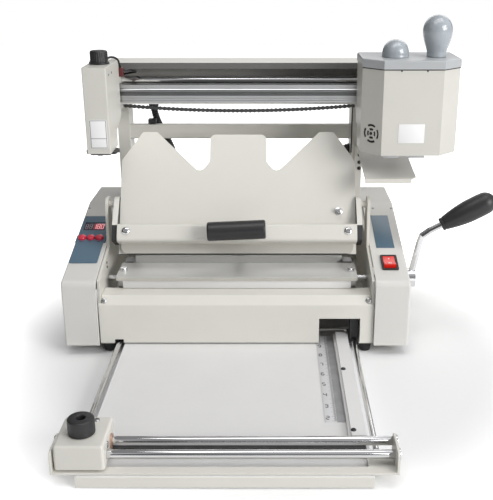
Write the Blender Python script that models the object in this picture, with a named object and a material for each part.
"""A desktop hot-melt book binder, modelled piece by piece in metres, +Z up.

The machine stands on four rubber feet. A page clamp hangs between two side plates and turns over,
so that a book's spine faces up under the milling head and the glue head, which slide along a beam on
two columns. A lever at the right closes the nip jaws on the deck. A creasing table slides in and out
under the front panel.
"""

import math

import bmesh
import bpy
import numpy as np
from mathutils import Matrix, Vector

mm = 0.001

# Clearances that every piece shares
GAP = 0.3 * mm
RUN = 0.4 * mm
OVERRUN = 4 * mm

# Side covers and the body between them
COVER_OUTER_X = 235 * mm
COVER_WIDTH = 47 * mm
COVER_BOTTOM = 14 * mm
COVER_FRONT_TOP = 107 * mm
COVER_TOP = 158.5 * mm
COVER_SLANT_DEPTH = 210 * mm
COVER_DEPTH = 306 * mm
COVER_SHEET = 2 * mm
COVER_ROUND = 9 * mm
COVER_EDGE = 2.5 * mm
SIDE_SHEET = 4 * mm
SIDE_BACK_Y = 229.5 * mm
SIDE_FLANGE = 19 * mm
SIDE_FLANGE_SHEET = 2 * mm
EAR_HALF_WIDTH = 11 * mm
EAR_FOOT = 7 * mm
EAR_ROUND = 10 * mm
BODY_BACK_Y = 303 * mm

# Rubber feet
FOOT_X = 178 * mm
FOOT_FRONT_Y = 19 * mm
FOOT_REAR_Y = 288 * mm
FOOT_TOP_RADIUS = 9.5 * mm
FOOT_BOTTOM_RADIUS = 7.5 * mm
FOOT_EDGE = 1 * mm

# Front panel and base plate
PANEL_Y = 5 * mm
PANEL_SHEET = 2 * mm
PANEL_BOTTOM = 16 * mm
PANEL_BEND = 72 * mm
DECK_TOP = 84 * mm
DECK_FRONT_Y = 13 * mm
DECK_BACK_Y = 40 * mm
BASE_BOTTOM = 54 * mm
BASE_SHEET = 2 * mm
NOTCH_LEFT_X = 113 * mm
NOTCH_RIGHT_X = 169 * mm
NOTCH_TOP = 52 * mm
ROD_NOTCH_HALF = 6 * mm
ROD_NOTCH_TOP = 21 * mm

# Rear housing and mains inlet
HOUSING_FRONT_Y = 216 * mm
HOUSING_TOP = 150 * mm
HOUSING_SHEET = 1.5 * mm
HOUSING_ROUND = 4 * mm
LOUVRE_COUNT = 9
LOUVRE_PITCH = 9 * mm
LOUVRE_WIDTH = 3.5 * mm
LOUVRE_HEIGHT = 34 * mm
LOUVRE_X = 70 * mm
LOUVRE_BOTTOM = 92 * mm
INLET_X = -110 * mm
INLET_Z = 104 * mm
INLET_WIDTH = 27 * mm
INLET_HEIGHT = 20 * mm
INLET_DEPTH = 22 * mm
INLET_WALL = 2.5 * mm
INLET_FLANGE = 2 * mm
INLET_RIM = 3 * mm
INLET_SOCKET_DEPTH = 16 * mm
INLET_PIN_LENGTH = 11 * mm
INLET_PIN_HALF_WIDTH = 1 * mm
INLET_PIN_HALF_HEIGHT = 2 * mm
INLET_PIN_PITCH = 7 * mm
INLET_PIN_RISE = 3 * mm

# Columns, crossbar and beam
COLUMN_OUTER_X = 187.5 * mm
COLUMN_WIDTH = 18 * mm
COLUMN_FRONT_Y = 230 * mm
COLUMN_DEPTH = 40 * mm
COLUMN_SHEET = 2 * mm
CROSSBAR_Y = 232 * mm
CROSSBAR_THICKNESS = 12 * mm
CROSSBAR_BOTTOM = 253 * mm
CROSSBAR_TOP = 275 * mm
CROSSBAR_ROUND = 2 * mm
BEAM_LEFT_X = -195 * mm
BEAM_RIGHT_X = 268 * mm
BEAM_TOP = 372 * mm
BEAM_FRONT_Y = 200 * mm
BEAM_BACK_Y = 260 * mm
BEAM_LIP = 9 * mm
BEAM_SHEET = 2.5 * mm
BEAM_END_SHEET = 3 * mm
RAIL_FRONT_Y = 180 * mm
RAIL_DEPTH = 23 * mm
RAIL_BOTTOM = 317.5 * mm
RAIL_TOP = 342.5 * mm
RAIL_RIDGE_RADIUS = 3.5 * mm
RAIL_RIDGE_Z = 334 * mm
RAIL_STEP = 3 * mm
RAIL_GROOVE = 1.4 * mm
RAIL_GROOVE_PITCH = 3.4 * mm
RAIL_GROOVE_COUNT = 3
GUIDE_RADIUS = 7.5 * mm
GUIDE_Y = 214.3 * mm
GUIDE_Z = 344 * mm

# Drive chain under the rail
CHAIN_PITCH = 6.35 * mm
CHAIN_PLATE_RADIUS = 2.9 * mm
CHAIN_PLATE = 0.75 * mm
CHAIN_ROLLER_RADIUS = 1.65 * mm
CHAIN_INNER_WIDTH = 3.2 * mm
CHAIN_Y = 200 * mm
CHAIN_LEFT_X = -168 * mm
CHAIN_LINKS = 53
CHAIN_END_Z = 309.5 * mm
CHAIN_SAG = 7.5 * mm
ANCHOR_LENGTH = 9 * mm
ANCHOR_HALF_WIDTH = 5 * mm

# Corrugated conduit behind the crossbar
CONDUIT_RADIUS = 5.5 * mm
CONDUIT_VALLEY_RADIUS = 4.6 * mm
CONDUIT_BORE_RADIUS = 3.6 * mm
CONDUIT_RIB_PITCH = 6.4 * mm
CONDUIT_Y = 252 * mm
CONDUIT_START_X = -134 * mm
CONDUIT_END_Z = 233 * mm
CONDUIT_LOW_Z = 165 * mm
CONDUIT_ROUTE = [
    (CONDUIT_START_X, 302 * mm),
    (CONDUIT_START_X + 4 * mm, 281 * mm),
    (CONDUIT_START_X + 22 * mm, 242 * mm),
    (-99 * mm, 212 * mm),
    (-66 * mm, 178 * mm),
    (-1 * mm, CONDUIT_LOW_Z),
    (66 * mm, 173 * mm),
    (118 * mm, 205 * mm),
    (146 * mm, 228 * mm),
]

# Drip tray on the right column
TRAY_SHEET = 1.5 * mm
TRAY_LEFT_X = 176 * mm
TRAY_RIGHT_X = 247 * mm
TRAY_FRONT_Y = 72 * mm
TRAY_FRONT_Z = 231 * mm
TRAY_BACK_Z = 246 * mm
TRAY_LIP = 6 * mm
TRAY_TAB_BOTTOM = 204 * mm
TRAY_CORNER = 16 * mm
TRAY_HANGER_X = 196 * mm

# Nip station on the deck
NIP_HALF_WIDTH = 167 * mm
NIP_FRONT_Y = 32 * mm
NIP_BACK_Y = 91 * mm
NIP_TOP = 102 * mm
NIP_THICKNESS = 5 * mm
NIP_CORNER = 3 * mm
SUPPORT_INNER_X = 150 * mm
SUPPORT_WIDTH = 15 * mm
SUPPORT_FRONT_Y = 42.5 * mm
SUPPORT_BACK_Y = 88 * mm
SUPPORT_FOOT = 10 * mm
SUPPORT_ARCH_TOP = 76 * mm
NIP_TIE = 6 * mm
BAR_HALF_WIDTH = 150 * mm
BAR_FRONT_Y = 103 * mm
BAR_THICKNESS = 6.3 * mm
BAR_BOTTOM = 88.4 * mm
BAR_TOP = 107.5 * mm
BAR_ROUND = 1.2 * mm
RACK_X = 116 * mm
RACK_WIDTH = 8 * mm
RACK_FRONT_Y = 56 * mm
RACK_BACKING = 2.2 * mm
GUIDE_BLOCK_WIDTH = 13 * mm
GUIDE_BLOCK_TOP = 104 * mm
GUIDE_TONGUE = 5 * mm
GUIDE_TONGUE_HEIGHT = 5 * mm

# Press lever with its shaft and pinions
PINION_MODULE = 1 * mm
PINION_TEETH = 12
PINION_BACKLASH = 0.5 * mm
PINION_FACE = 7 * mm
SHAFT_Y = 70 * mm
SHAFT_RADIUS = 4 * mm
SHAFT_LEFT_X = -186 * mm
HUB_START_X = 236.5 * mm
HUB_END_X = 251 * mm
HUB_RADIUS = 13 * mm
LEVER_RADIUS = 4.8 * mm
LEVER_FOOT_X = 245 * mm
LEVER_KNEE_X = 258 * mm
LEVER_KNEE_Z = 152 * mm
LEVER_GRIP_X = 284 * mm
LEVER_GRIP_Z = 166 * mm
GRIP_LENGTH = 82 * mm
GRIP_NECK_RADIUS = 9 * mm
GRIP_RADIUS = 15.5 * mm
GRIP_EDGE = 3 * mm
GRIP_SOCKET = 18 * mm

# Page clamp, measured from its turning axis: y backwards, z up the leaning page rest
CLAMP_Y = 108 * mm
CLAMP_Z = 185 * mm
CLAMP_LEAN = 30
CLAMP_HALF_WIDTH = 167 * mm
REST_FRONT = -5.3 * mm
REST_SHEET = 2.5 * mm
REST_BOTTOM = -58 * mm
REST_SHOULDER = 63 * mm
REST_PEAK = 105.5 * mm
REST_PEAK_OUTER_X = 137.5 * mm
REST_PEAK_INNER_X = 117 * mm
REST_NOTCH_X = 54 * mm
REST_NOTCH_Z = 44 * mm
REST_NOTCH_ROUND = 9 * mm
REST_TAB_X = 40.5 * mm
REST_TAB_TOP = 101.7 * mm
REST_TAB_ROUND = 8 * mm
JAW_DEPTH = 19.6 * mm
JAW_TOP = -33.3 * mm
JAW_BOTTOM = -59.3 * mm
JAW_ROUND = 5 * mm
JAW_TRAVEL = 45 * mm
BLADE_BOTTOM = -74 * mm
BLADE_THICKNESS = 5 * mm
BLADE_INSET = 4 * mm
BLADE_ROUND = 9 * mm
REAR_JAW_DEPTH = 14 * mm
REAR_JAW_TOP = -20 * mm
REAR_JAW_CHAMFER = 9 * mm
JAW_ROD_INSET = 17 * mm
JAW_ROD_Z = -41 * mm
JAW_ROD_RADIUS = 5 * mm
JAW_ROD_SPARE = 5 * mm
END_PLATE_THICKNESS = 7.5 * mm
END_PLATE_FRONT = -22 * mm
END_PLATE_KNEE = -36 * mm
END_PLATE_TOP_RADIUS = 10 * mm
TRUNNION_RADIUS = 5 * mm
SCREW_Z = -48 * mm
SCREW_RADIUS = 6 * mm
SCREW_COLLAR_RADIUS = 9.5 * mm
SCREW_COLLAR = 4 * mm
HANDLE_OFFSET = 20 * mm
HANDLE_RADIUS = 13 * mm
HANDLE_LENGTH = 80 * mm
HANDLE_EDGE = 2.5 * mm
HANDLE_TILT = 2.5

# Milling head
MILL_LEFT_X = -203.5 * mm
MILL_WIDTH = 32.5 * mm
MILL_FRONT_Y = 80 * mm
MILL_CHIN_Y = 136 * mm
MILL_BACK_Y = 175 * mm
MILL_BOTTOM = 264 * mm
MILL_CHIN_TOP = 286 * mm
MILL_NAPE_Z = 300 * mm
MILL_TOP = 380 * mm
MILL_SHEET = 2 * mm
MILL_EDGE = 2 * mm
SPINDLE_Y = 108 * mm
SPINDLE_RADIUS = 4 * mm
MOTOR_RADIUS = 13.5 * mm
MOTOR_BOTTOM = 284 * mm
MOTOR_LENGTH = 64 * mm
MOTOR_EDGE = 1.5 * mm
CUTTER_RADIUS = 23 * mm
CUTTER_THICKNESS = 3.2 * mm
CUTTER_TEETH = 12
CUTTER_TOOTH = 2.5 * mm
MILL_KNOB_Y = 122 * mm
MILL_KNOB_RADIUS = 12 * mm
MILL_KNOB_HEIGHT = 15 * mm
MILL_COLLAR_RADIUS = 14 * mm
MILL_COLLAR_HEIGHT = 3 * mm
MILL_STEM_RADIUS = 4 * mm

# Carriages that hook over the rail and round the guide rod
CARRIAGE_PLATE_TOP = 366 * mm
CARRIAGE_PLATE_BOTTOM = 304 * mm
CARRIAGE_ARM_TOP = 362 * mm
CARRIAGE_BACK_Y = 230 * mm
CARRIAGE_HOOK_BOTTOM = 330 * mm
MILL_CARRIAGE_LEFT_X = -190 * mm
MILL_CARRIAGE_WIDTH = 16 * mm
GLUE_CARRIAGE_LEFT_X = 196 * mm
GLUE_CARRIAGE_WIDTH = 66 * mm

# Glue head
GLUE_LEFT_X = 170 * mm
GLUE_WIDTH = 131 * mm
GLUE_FRONT_Y = 70 * mm
GLUE_CHAMFER = 26 * mm
GLUE_CHIN_Y = 144 * mm
GLUE_BACK_Y = 168 * mm
GLUE_BOTTOM = 264 * mm
GLUE_NAPE_Z = 292 * mm
GLUE_TOP = 379 * mm
GLUE_SHEET = 2 * mm
CAP_HEIGHT = 12 * mm
CAP_OVERHANG = 1 * mm
CAP_EDGE = 3 * mm
FILLER_X = 215 * mm
FILLER_Y = 110 * mm
FILLER_RADIUS = 16 * mm
LID_RADIUS = 18.4 * mm
LID_FLANGE = 3 * mm
LID_PLUG = 10 * mm
BALL_RADIUS = 18 * mm
BALL_TOP = 414 * mm
BALL_STEPS = 9
EGG_X = 270 * mm
EGG_FOOT_RADIUS = 13.2 * mm
EGG_NECK_RADIUS = 14.2 * mm
EGG_NECK_Z = 8 * mm
EGG_RADIUS = 19.5 * mm
EGG_HEIGHT = 55 * mm
EGG_STEPS = 9
TANK_LEFT_X = 200 * mm
TANK_WIDTH = 90 * mm
TANK_FRONT_Y = 90 * mm
TANK_BOTTOM = 266 * mm
TANK_HEIGHT = 64 * mm
TANK_WALL = 5 * mm
ROLLER_X = 243 * mm
ROLLER_Z = 274.5 * mm
ROLLER_RADIUS = 14 * mm
ROLLER_END_GAP = 1 * mm
ROLLER_SHAFT_RADIUS = 3 * mm
ROLLER_FLUTES = 16
ROLLER_FLUTE = 0.8 * mm
VENT_Z = 292 * mm
VENT_HUB_RADIUS = 3 * mm
VENT_SLOT = 3.2 * mm
VENT_RIB = 2.4 * mm
VENT_RINGS = 2
VENT_ARCS = 4
VENT_BRIDGE = 24
SPROCKET_TEETH = 10
SPROCKET_THICKNESS = 2.6 * mm
SPROCKET_AXLE_RADIUS = 3 * mm
SPROCKET_X = 229 * mm
SPROCKET_BRACKET_HALF = 12 * mm
SPROCKET_BRACKET_DROP = 9 * mm
SPROCKET_TIP = 1.2 * mm

# Controls on the slanted faces, measured along the slope from the covers' front edge
CONSOLE_X = 213 * mm
PLATE_THICKNESS = 1.5 * mm
PLATE_WIDTH = 39 * mm
PLATE_START = 46 * mm
PLATE_END = 170 * mm
PLATE_ROUND = 2 * mm
CARRIER_DEPTH = 14 * mm
CARRIER_MARGIN = 3 * mm
BUTTON_RADIUS = 5.8 * mm
BUTTON_PITCH = 12.6 * mm
BUTTON_S = 108.3 * mm
BUTTON_RISE = 4 * mm
BUTTON_DEPTH = 9 * mm
BUTTON_EDGE = 1 * mm
BUTTON_TRAVEL = 1.2 * mm
DISPLAY_START = 130 * mm
DISPLAY_END = 152 * mm
DISPLAY_WIDTH = 31 * mm
DISPLAY_DEPTH = 1 * mm
SWITCH_X = 211 * mm
SWITCH_S = 47 * mm
SWITCH_WIDTH = 23 * mm
SWITCH_LENGTH = 35.5 * mm
SWITCH_RIM = 3 * mm
SWITCH_RIM_HEIGHT = 2 * mm
SWITCH_BODY_DEPTH = 16 * mm
ROCKER_HALF_LENGTH = 13.2 * mm
ROCKER_HEIGHT = 9 * mm
ROCKER_DIP = 2 * mm
ROCKER_PIVOT_DEPTH = 5 * mm
ROCKER_PIN_RADIUS = 1.5 * mm
ROCKER_TILT = 9

# Creasing table and its slide
TABLE_HALF_WIDTH = 155.5 * mm
TABLE_FRONT_Y = -306 * mm
TABLE_BACK_Y = 30 * mm
TABLE_TOP = 14 * mm
TABLE_SHEET = 1.5 * mm
TABLE_LIP_BOTTOM = 1 * mm
TABLE_ROUND = 1.5 * mm
TABLE_ROD_X = 162 * mm
TABLE_ROD_Z = 15 * mm
TABLE_ROD_RADIUS = 3.5 * mm
TABLE_ROD_BACK_Y = 56 * mm
BUSH_FRONT_Y = 16 * mm
BUSH_LENGTH = 18 * mm
BUSH_WALL = 2.2 * mm
BRACKET_HALF_WIDTH = 181 * mm
BRACKET_SHEET = 2.5 * mm
BRACKET_FRONT_Y = -303 * mm
BRACKET_BACK_Y = -259 * mm
BRACKET_TOP = 40 * mm
BRACKET_ROUND = 6 * mm
BRACKET_STRAP = 12 * mm
REAR_BAR_Y = -262.5 * mm
REAR_BAR_Z = 30 * mm
FRONT_BAR_Y = -285 * mm
FRONT_BAR_Z = 28 * mm
CROSS_BAR_RADIUS = 5 * mm
CROSS_BAR_HEAD_RADIUS = 6.5 * mm
CROSS_BAR_HEAD = 2.5 * mm
STRIP_FRONT_Y = -257.5 * mm
STRIP_WIDTH = 11.5 * mm
STRIP_HEIGHT = 2.4 * mm
STRIP_GROOVE = 1.2 * mm
STRIP_MARGIN = 4 * mm
FENCE_LEFT_X = 134 * mm
FENCE_WIDTH = 19.5 * mm
FENCE_FRONT_Y = -238 * mm
FENCE_HEIGHT = 7.7 * mm
FENCE_STEP = 3 * mm

# Creasing carriage
BLOCK_LEFT_X = -177 * mm
BLOCK_WIDTH = 53 * mm
BLOCK_FRONT_Y = -301 * mm
BLOCK_BACK_Y = -240 * mm
BLOCK_BOTTOM = 19 * mm
BLOCK_TOP = 47 * mm
BLOCK_ROUND = 4 * mm
WHEEL_X = -150 * mm
WHEEL_Y = -251.7 * mm
WHEEL_RADIUS = 8.6 * mm
WHEEL_THICKNESS = 2.4 * mm
WHEEL_AXLE_RADIUS = 2 * mm
WHEEL_AXLE = 7 * mm
WHEEL_LIFT = 0.4 * mm
KNOB_X = -151.5 * mm
KNOB_Y = -274 * mm
KNOB_RADIUS = 14.5 * mm
KNOB_HEIGHT = 18 * mm
KNOB_EDGE = 2 * mm
KNOB_HOLE_RADIUS = 4.8 * mm
KNOB_HOLE_DEPTH = 12 * mm
KNOB_STEM_RADIUS = 4 * mm
KNOB_STEM = 5 * mm
KNURLS = 24

# Facets round a full turn
COARSE = 10
MEDIUM = 16
FINE = 24

# Colour, roughness and metallic value of each finish
CREAM = ((0.80, 0.79, 0.73), 0.42, 0.0)
WHITE = ((0.84, 0.84, 0.81), 0.38, 0.0)
PALE_GREY = ((0.55, 0.57, 0.58), 0.45, 0.0)
CHROME = ((0.78, 0.78, 0.79), 0.12, 1.0)
ALUMINIUM = ((0.68, 0.69, 0.70), 0.32, 1.0)
STEEL = ((0.46, 0.47, 0.48), 0.35, 1.0)
BLACK = ((0.03, 0.03, 0.032), 0.5, 0.0)
RUBBER = ((0.02, 0.02, 0.02), 0.75, 0.0)
BLUE = ((0.04, 0.12, 0.32), 0.35, 0.0)
RED = ((0.70, 0.03, 0.03), 0.35, 0.0)

# Values worked out from the sizes above
COVER_INNER_X = COVER_OUTER_X - COVER_WIDTH
SIDE_OUTER_X = COVER_INNER_X - GAP
SIDE_INNER_X = SIDE_OUTER_X - SIDE_SHEET
SIDE_FRONT_Y = PANEL_Y + PANEL_SHEET + GAP
BASE_TOP = BASE_BOTTOM + BASE_SHEET
COLUMN_INNER_X = COLUMN_OUTER_X - COLUMN_WIDTH
COVER_SLOPE = math.atan2(COVER_TOP - COVER_FRONT_TOP, COVER_SLANT_DEPTH)
RAIL_BACK_Y = RAIL_FRONT_Y + RAIL_DEPTH
BEAM_BOTTOM = RAIL_BOTTOM - GAP - BEAM_SHEET
NIP_BOTTOM = NIP_TOP - NIP_THICKNESS
BAR_BACK_Y = BAR_FRONT_Y + BAR_THICKNESS
RACK_TOP = NIP_BOTTOM - RUN
RACK_PITCH_Z = RACK_TOP - RACK_BACKING - 1.25 * PINION_MODULE
PINION_RADIUS = PINION_MODULE * PINION_TEETH / 2
SHAFT_Z = RACK_PITCH_Z - PINION_RADIUS
REST_BACK = REST_FRONT + REST_SHEET
BLADE_HALF_WIDTH = CLAMP_HALF_WIDTH - BLADE_INSET
JAW_ROD_X = CLAMP_HALF_WIDTH - JAW_ROD_INSET
JAW_BACK = REST_FRONT - GAP
JAW_FRONT = JAW_BACK - JAW_DEPTH
REAR_JAW_BACK = REST_BACK + GAP + REAR_JAW_DEPTH
HANDLE_Y = JAW_FRONT - HANDLE_OFFSET
MILL_X = MILL_LEFT_X + MILL_WIDTH / 2
CUTTER_TOP = MILL_BOTTOM - GAP
GLUE_RIGHT_X = GLUE_LEFT_X + GLUE_WIDTH
TANK_BACK_Y = GLUE_CHIN_Y - GLUE_SHEET - GAP
SPROCKET_RADIUS = CHAIN_PITCH / (2 * math.sin(math.pi / SPROCKET_TEETH))
SPROCKET_Z = CHAIN_END_Z - CHAIN_SAG - CHAIN_PLATE_RADIUS - RUN - SPROCKET_TIP - SPROCKET_RADIUS
STRIP_TOP = TABLE_TOP + GAP + STRIP_HEIGHT
WHEEL_Z = STRIP_TOP + WHEEL_LIFT + WHEEL_RADIUS


# Outlines


def rounded(corners, radii, steps=4):
    """The outline through these corners, each turned by an arc of its own radius."""
    points = []
    count = len(corners)
    for i, corner in enumerate(corners):
        radius = radii[i] if isinstance(radii, (list, tuple)) else radii
        if not radius:
            points.append(tuple(corner))
            continue
        here = Vector(corner)
        before = (Vector(corners[i - 1]) - here).normalized()
        after = (Vector(corners[(i + 1) % count]) - here).normalized()
        half = math.acos(max(-1.0, min(1.0, before.dot(after)))) / 2
        centre = here + (before + after).normalized() * (radius / math.sin(half))
        first = here + before * (radius / math.tan(half)) - centre
        last = here + after * (radius / math.tan(half)) - centre
        turn = math.atan2(first.x * last.y - first.y * last.x, first.dot(last))
        for k in range(steps + 1):
            angle = turn * k / steps
            x = first.x * math.cos(angle) - first.y * math.sin(angle)
            y = first.x * math.sin(angle) + first.y * math.cos(angle)
            points.append((centre.x + x, centre.y + y))
    return points


def rectangle(x0, y0, x1, y1):
    return [(x0, y0), (x1, y0), (x1, y1), (x0, y1)]


def folded(path, sheet):
    """The outline of a sheet bent along this path, with its thickness on the path's right side."""
    path = [Vector(point) for point in path]
    inner = []
    for i, point in enumerate(path):
        along = []
        if i:
            along.append((point - path[i - 1]).normalized())
        if i < len(path) - 1:
            along.append((path[i + 1] - point).normalized())
        normals = [Vector((d.y, -d.x)) for d in along]
        mean = sum(normals, Vector((0, 0))).normalized()
        inner.append(point + mean * (sheet / mean.dot(normals[0])))
    return [tuple(p) for p in path] + [tuple(p) for p in reversed(inner)]


def toothed(teeth, root_radius, tip_radius, root_share, tip_share):
    """A wheel's outline: straight-sided teeth, whose widths at root and tip are shares of one pitch."""
    points = []
    for k in range(teeth):
        for radius, share in (
            (root_radius, -root_share),
            (tip_radius, -tip_share),
            (tip_radius, tip_share),
            (root_radius, root_share),
        ):
            angle = 2 * math.pi * (k + share / 2) / teeth
            points.append((radius * math.sin(angle), radius * math.cos(angle)))
    return points


# Solids, as bmesh shapes that one object may hold several of

ACROSS = {
    "X": lambda a, b, t: (t, a, b),
    "Y": lambda a, b, t: (a, t, b),
    "Z": lambda a, b, t: (a, b, t),
}


def slab(outline, axis, low, high):
    """The outline, pushed along an axis from low to high."""
    bm = bmesh.new()
    ends = sorted((low, high))
    ring = [bm.verts.new(ACROSS[axis](a, b, ends[0])) for a, b in outline]
    face = bm.faces.new(ring)
    grown = bmesh.ops.extrude_face_region(bm, geom=[face])["geom"]
    moved = [v for v in grown if isinstance(v, bmesh.types.BMVert)]
    step = Vector(ACROSS[axis](0, 0, ends[1] - ends[0]))
    bmesh.ops.translate(bm, verts=moved, vec=step)
    bmesh.ops.recalc_face_normals(bm, faces=bm.faces)
    return bm


def block(low, high):
    bm = bmesh.new()
    bmesh.ops.create_cube(bm, size=1)
    size = Vector(high) - Vector(low)
    middle = (Vector(high) + Vector(low)) / 2
    bmesh.ops.scale(bm, vec=Vector([abs(s) for s in size]), verts=bm.verts)
    bmesh.ops.translate(bm, vec=middle, verts=bm.verts)
    return bm


def facing(direction):
    """The turn that takes +Z to this direction."""
    return Vector((0, 0, 1)).rotation_difference(Vector(direction)).to_matrix().to_4x4()


def rod(start, end, radius, sides=MEDIUM):
    start, end = Vector(start), Vector(end)
    bm = bmesh.new()
    bmesh.ops.create_cone(
        bm, cap_ends=True, segments=sides, radius1=radius, radius2=radius, depth=(end - start).length
    )
    bm.transform(Matrix.Translation((start + end) / 2) @ facing(end - start))
    return bm


def turned(profile, foot=(0, 0, 0), direction=(0, 0, 1), sides=MEDIUM):
    """The profile of (radius, height) points, spun round the line that rises from foot."""
    bm = bmesh.new()
    verts = [bm.verts.new((radius, 0, height)) for radius, height in profile]
    edges = [bm.edges.new((a, b)) for a, b in zip(verts, verts[1:])]
    if profile[0][0] and profile[-1][0]:
        edges.append(bm.edges.new((verts[-1], verts[0])))
    bmesh.ops.spin(
        bm, geom=verts + edges, cent=(0, 0, 0), axis=(0, 0, 1), angle=2 * math.pi, steps=sides, use_merge=True
    )
    bmesh.ops.remove_doubles(bm, verts=bm.verts, dist=GAP / 100)
    bmesh.ops.recalc_face_normals(bm, faces=bm.faces)
    bm.transform(Matrix.Translation(foot) @ facing(direction))
    return bm


def soften(bm, chosen, width, segments=2):
    """Rounds the edges that chosen() picks by their two ends."""
    edges = [e for e in bm.edges if chosen(e.verts[0].co, e.verts[1].co)]
    bmesh.ops.bevel(bm, geom=edges, offset=width, segments=segments, profile=0.5, affect="EDGES")
    return bm


def both_at(axis, value):
    """Picks edges whose two ends lie at this value of one axis."""
    return lambda a, b: max(abs(a[axis] - value), abs(b[axis] - value)) < GAP / 10


def along(axis):
    """Picks edges that run along one axis."""
    others = [i for i in range(3) if i != axis]
    return lambda a, b: max(abs(a[i] - b[i]) for i in others) < GAP / 10


def turned_by(bm, matrix):
    bm.transform(matrix)
    return bm


# Objects, materials and how they are carried


def paint(name, finish):
    colour, roughness, metallic = finish
    material = bpy.data.materials.new(name + "_finish")
    material.use_nodes = True
    shader = material.node_tree.nodes["Principled BSDF"]
    shader.inputs["Base Color"].default_value = (*colour, 1)
    shader.inputs["Roughness"].default_value = roughness
    shader.inputs["Metallic"].default_value = metallic
    material.diffuse_color = (*colour, 1)
    return material


def mesh_of(name, shapes):
    mesh = bpy.data.meshes.new(name)
    whole = bmesh.new()
    for shape in shapes:
        part = bpy.data.meshes.new(name + "_shape")
        shape.to_mesh(part)
        shape.free()
        whole.from_mesh(part)
        bpy.data.meshes.remove(part)
    whole.to_mesh(mesh)
    whole.free()
    return mesh


def piece(name, shapes, finish, carrier=None):
    """One named object. Its carrier is the empty that it hangs on, in whose frame its shapes are drawn."""
    mesh = mesh_of(name, shapes if isinstance(shapes, list) else [shapes])
    mesh.materials.append(paint(name, finish))
    mesh.shade_smooth()
    mesh.set_sharp_from_angle(angle=math.radians(32))
    made = bpy.data.objects.new(name, mesh)
    bpy.context.scene.collection.objects.link(made)
    made.parent = carrier or bpy.data.objects["machine"]
    return made


def helper(owner, shapes, suffix):
    mesh = mesh_of(owner.name + suffix, shapes)
    tool = bpy.data.objects.new(owner.name + suffix, mesh)
    bpy.context.scene.collection.objects.link(tool)
    tool.parent = owner
    tool.hide_render = True
    tool.display_type = "WIRE"
    return tool


def boolean(owner, shapes, operation, suffix):
    modifier = owner.modifiers.new(suffix, "BOOLEAN")
    modifier.operation = operation
    modifier.solver = "EXACT"
    modifier.object = helper(owner, shapes, suffix)
    return owner


def cut(owner, *shapes):
    return boolean(owner, list(shapes), "DIFFERENCE", f"_cut_{len(owner.modifiers)}")


def fuse(owner, *shapes):
    for shape in shapes:
        boolean(owner, [shape], "UNION", f"_fused_{len(owner.modifiers)}")
    return owner


def empty(name, place=(0, 0, 0), tilt=0.0, parent=None):
    """A frame that pieces hang on, turned about X by tilt."""
    made = bpy.data.objects.new(name, None)
    bpy.context.scene.collection.objects.link(made)
    made.location = place
    made.rotation_euler = (tilt, 0, 0)
    made.parent = parent
    return made


def moved_to(carrier, shape):
    """Takes a shape that was drawn in the machine's frame into a carrier's frame."""
    return turned_by(shape, Matrix.Translation(-carrier.location))


def hung(name, shapes, finish, carrier):
    """A piece drawn in the machine's frame and carried by an empty on its joint's axis."""
    shapes = shapes if isinstance(shapes, list) else [shapes]
    return piece(name, [moved_to(carrier, s) for s in shapes], finish, carrier)


# Side plates, covers and feet


def cover_outline(inset, bottom):
    """The covers' side view, drawn in by inset: upright front, slanted top, flat top behind."""
    slope = math.tan(COVER_SLOPE)
    drop = inset / math.cos(COVER_SLOPE)
    top = COVER_TOP - inset
    front_top = COVER_FRONT_TOP + slope * inset - drop
    slant_back = (top - COVER_FRONT_TOP + drop) / slope
    return [
        (inset, bottom),
        (inset, front_top),
        (slant_back, top),
        (COVER_DEPTH - inset, top),
        (COVER_DEPTH - inset, bottom),
    ]


def slope_height(y, inset=0.0):
    return COVER_FRONT_TOP + math.tan(COVER_SLOPE) * y - inset / math.cos(COVER_SLOPE)


def side_cover(name, side):
    outer, inner = side * COVER_OUTER_X, side * COVER_INNER_X
    outline = rounded(cover_outline(0, COVER_BOTTOM), [0, COVER_ROUND, COVER_ROUND, COVER_ROUND, 0], 3)
    shell = slab(outline, "X", inner, outer)
    at_side = both_at(0, outer)
    soften(shell, lambda a, b: at_side(a, b) and max(a.z, b.z) > COVER_BOTTOM + GAP, COVER_EDGE)
    cover = piece(name, shell, CREAM)
    inside = rounded(
        cover_outline(COVER_SHEET, COVER_BOTTOM - OVERRUN),
        [0, COVER_ROUND - COVER_SHEET, COVER_ROUND - COVER_SHEET, COVER_ROUND - COVER_SHEET, 0],
        3,
    )
    cut(cover, slab(inside, "X", inner - side * OVERRUN, outer - side * COVER_SHEET))
    return cover


def side_outline():
    """The side plate under its cover, with the ear that carries the clamp and a low tail behind."""
    top_inset = COVER_SHEET
    ear_foot = EAR_HALF_WIDTH + EAR_FOOT
    before, after = CLAMP_Y - ear_foot, CLAMP_Y + ear_foot
    ear_top = CLAMP_Z + EAR_HALF_WIDTH
    corners = [
        (SIDE_FRONT_Y, COVER_BOTTOM),
        (SIDE_FRONT_Y, slope_height(SIDE_FRONT_Y, top_inset)),
        (before, slope_height(before, top_inset)),
        (CLAMP_Y - EAR_HALF_WIDTH, ear_top),
        (CLAMP_Y + EAR_HALF_WIDTH, ear_top),
        (after, slope_height(after, top_inset)),
        (COVER_SLANT_DEPTH, COVER_TOP - top_inset),
        (SIDE_BACK_Y, COVER_TOP - top_inset),
        (SIDE_BACK_Y, BASE_BOTTOM - GAP),
        (BODY_BACK_Y, BASE_BOTTOM - GAP),
        (BODY_BACK_Y, COVER_BOTTOM),
    ]
    return rounded(corners, [0, 0, 0, EAR_ROUND, EAR_ROUND, 0, 0, 0, 0, 0, 0])


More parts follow.
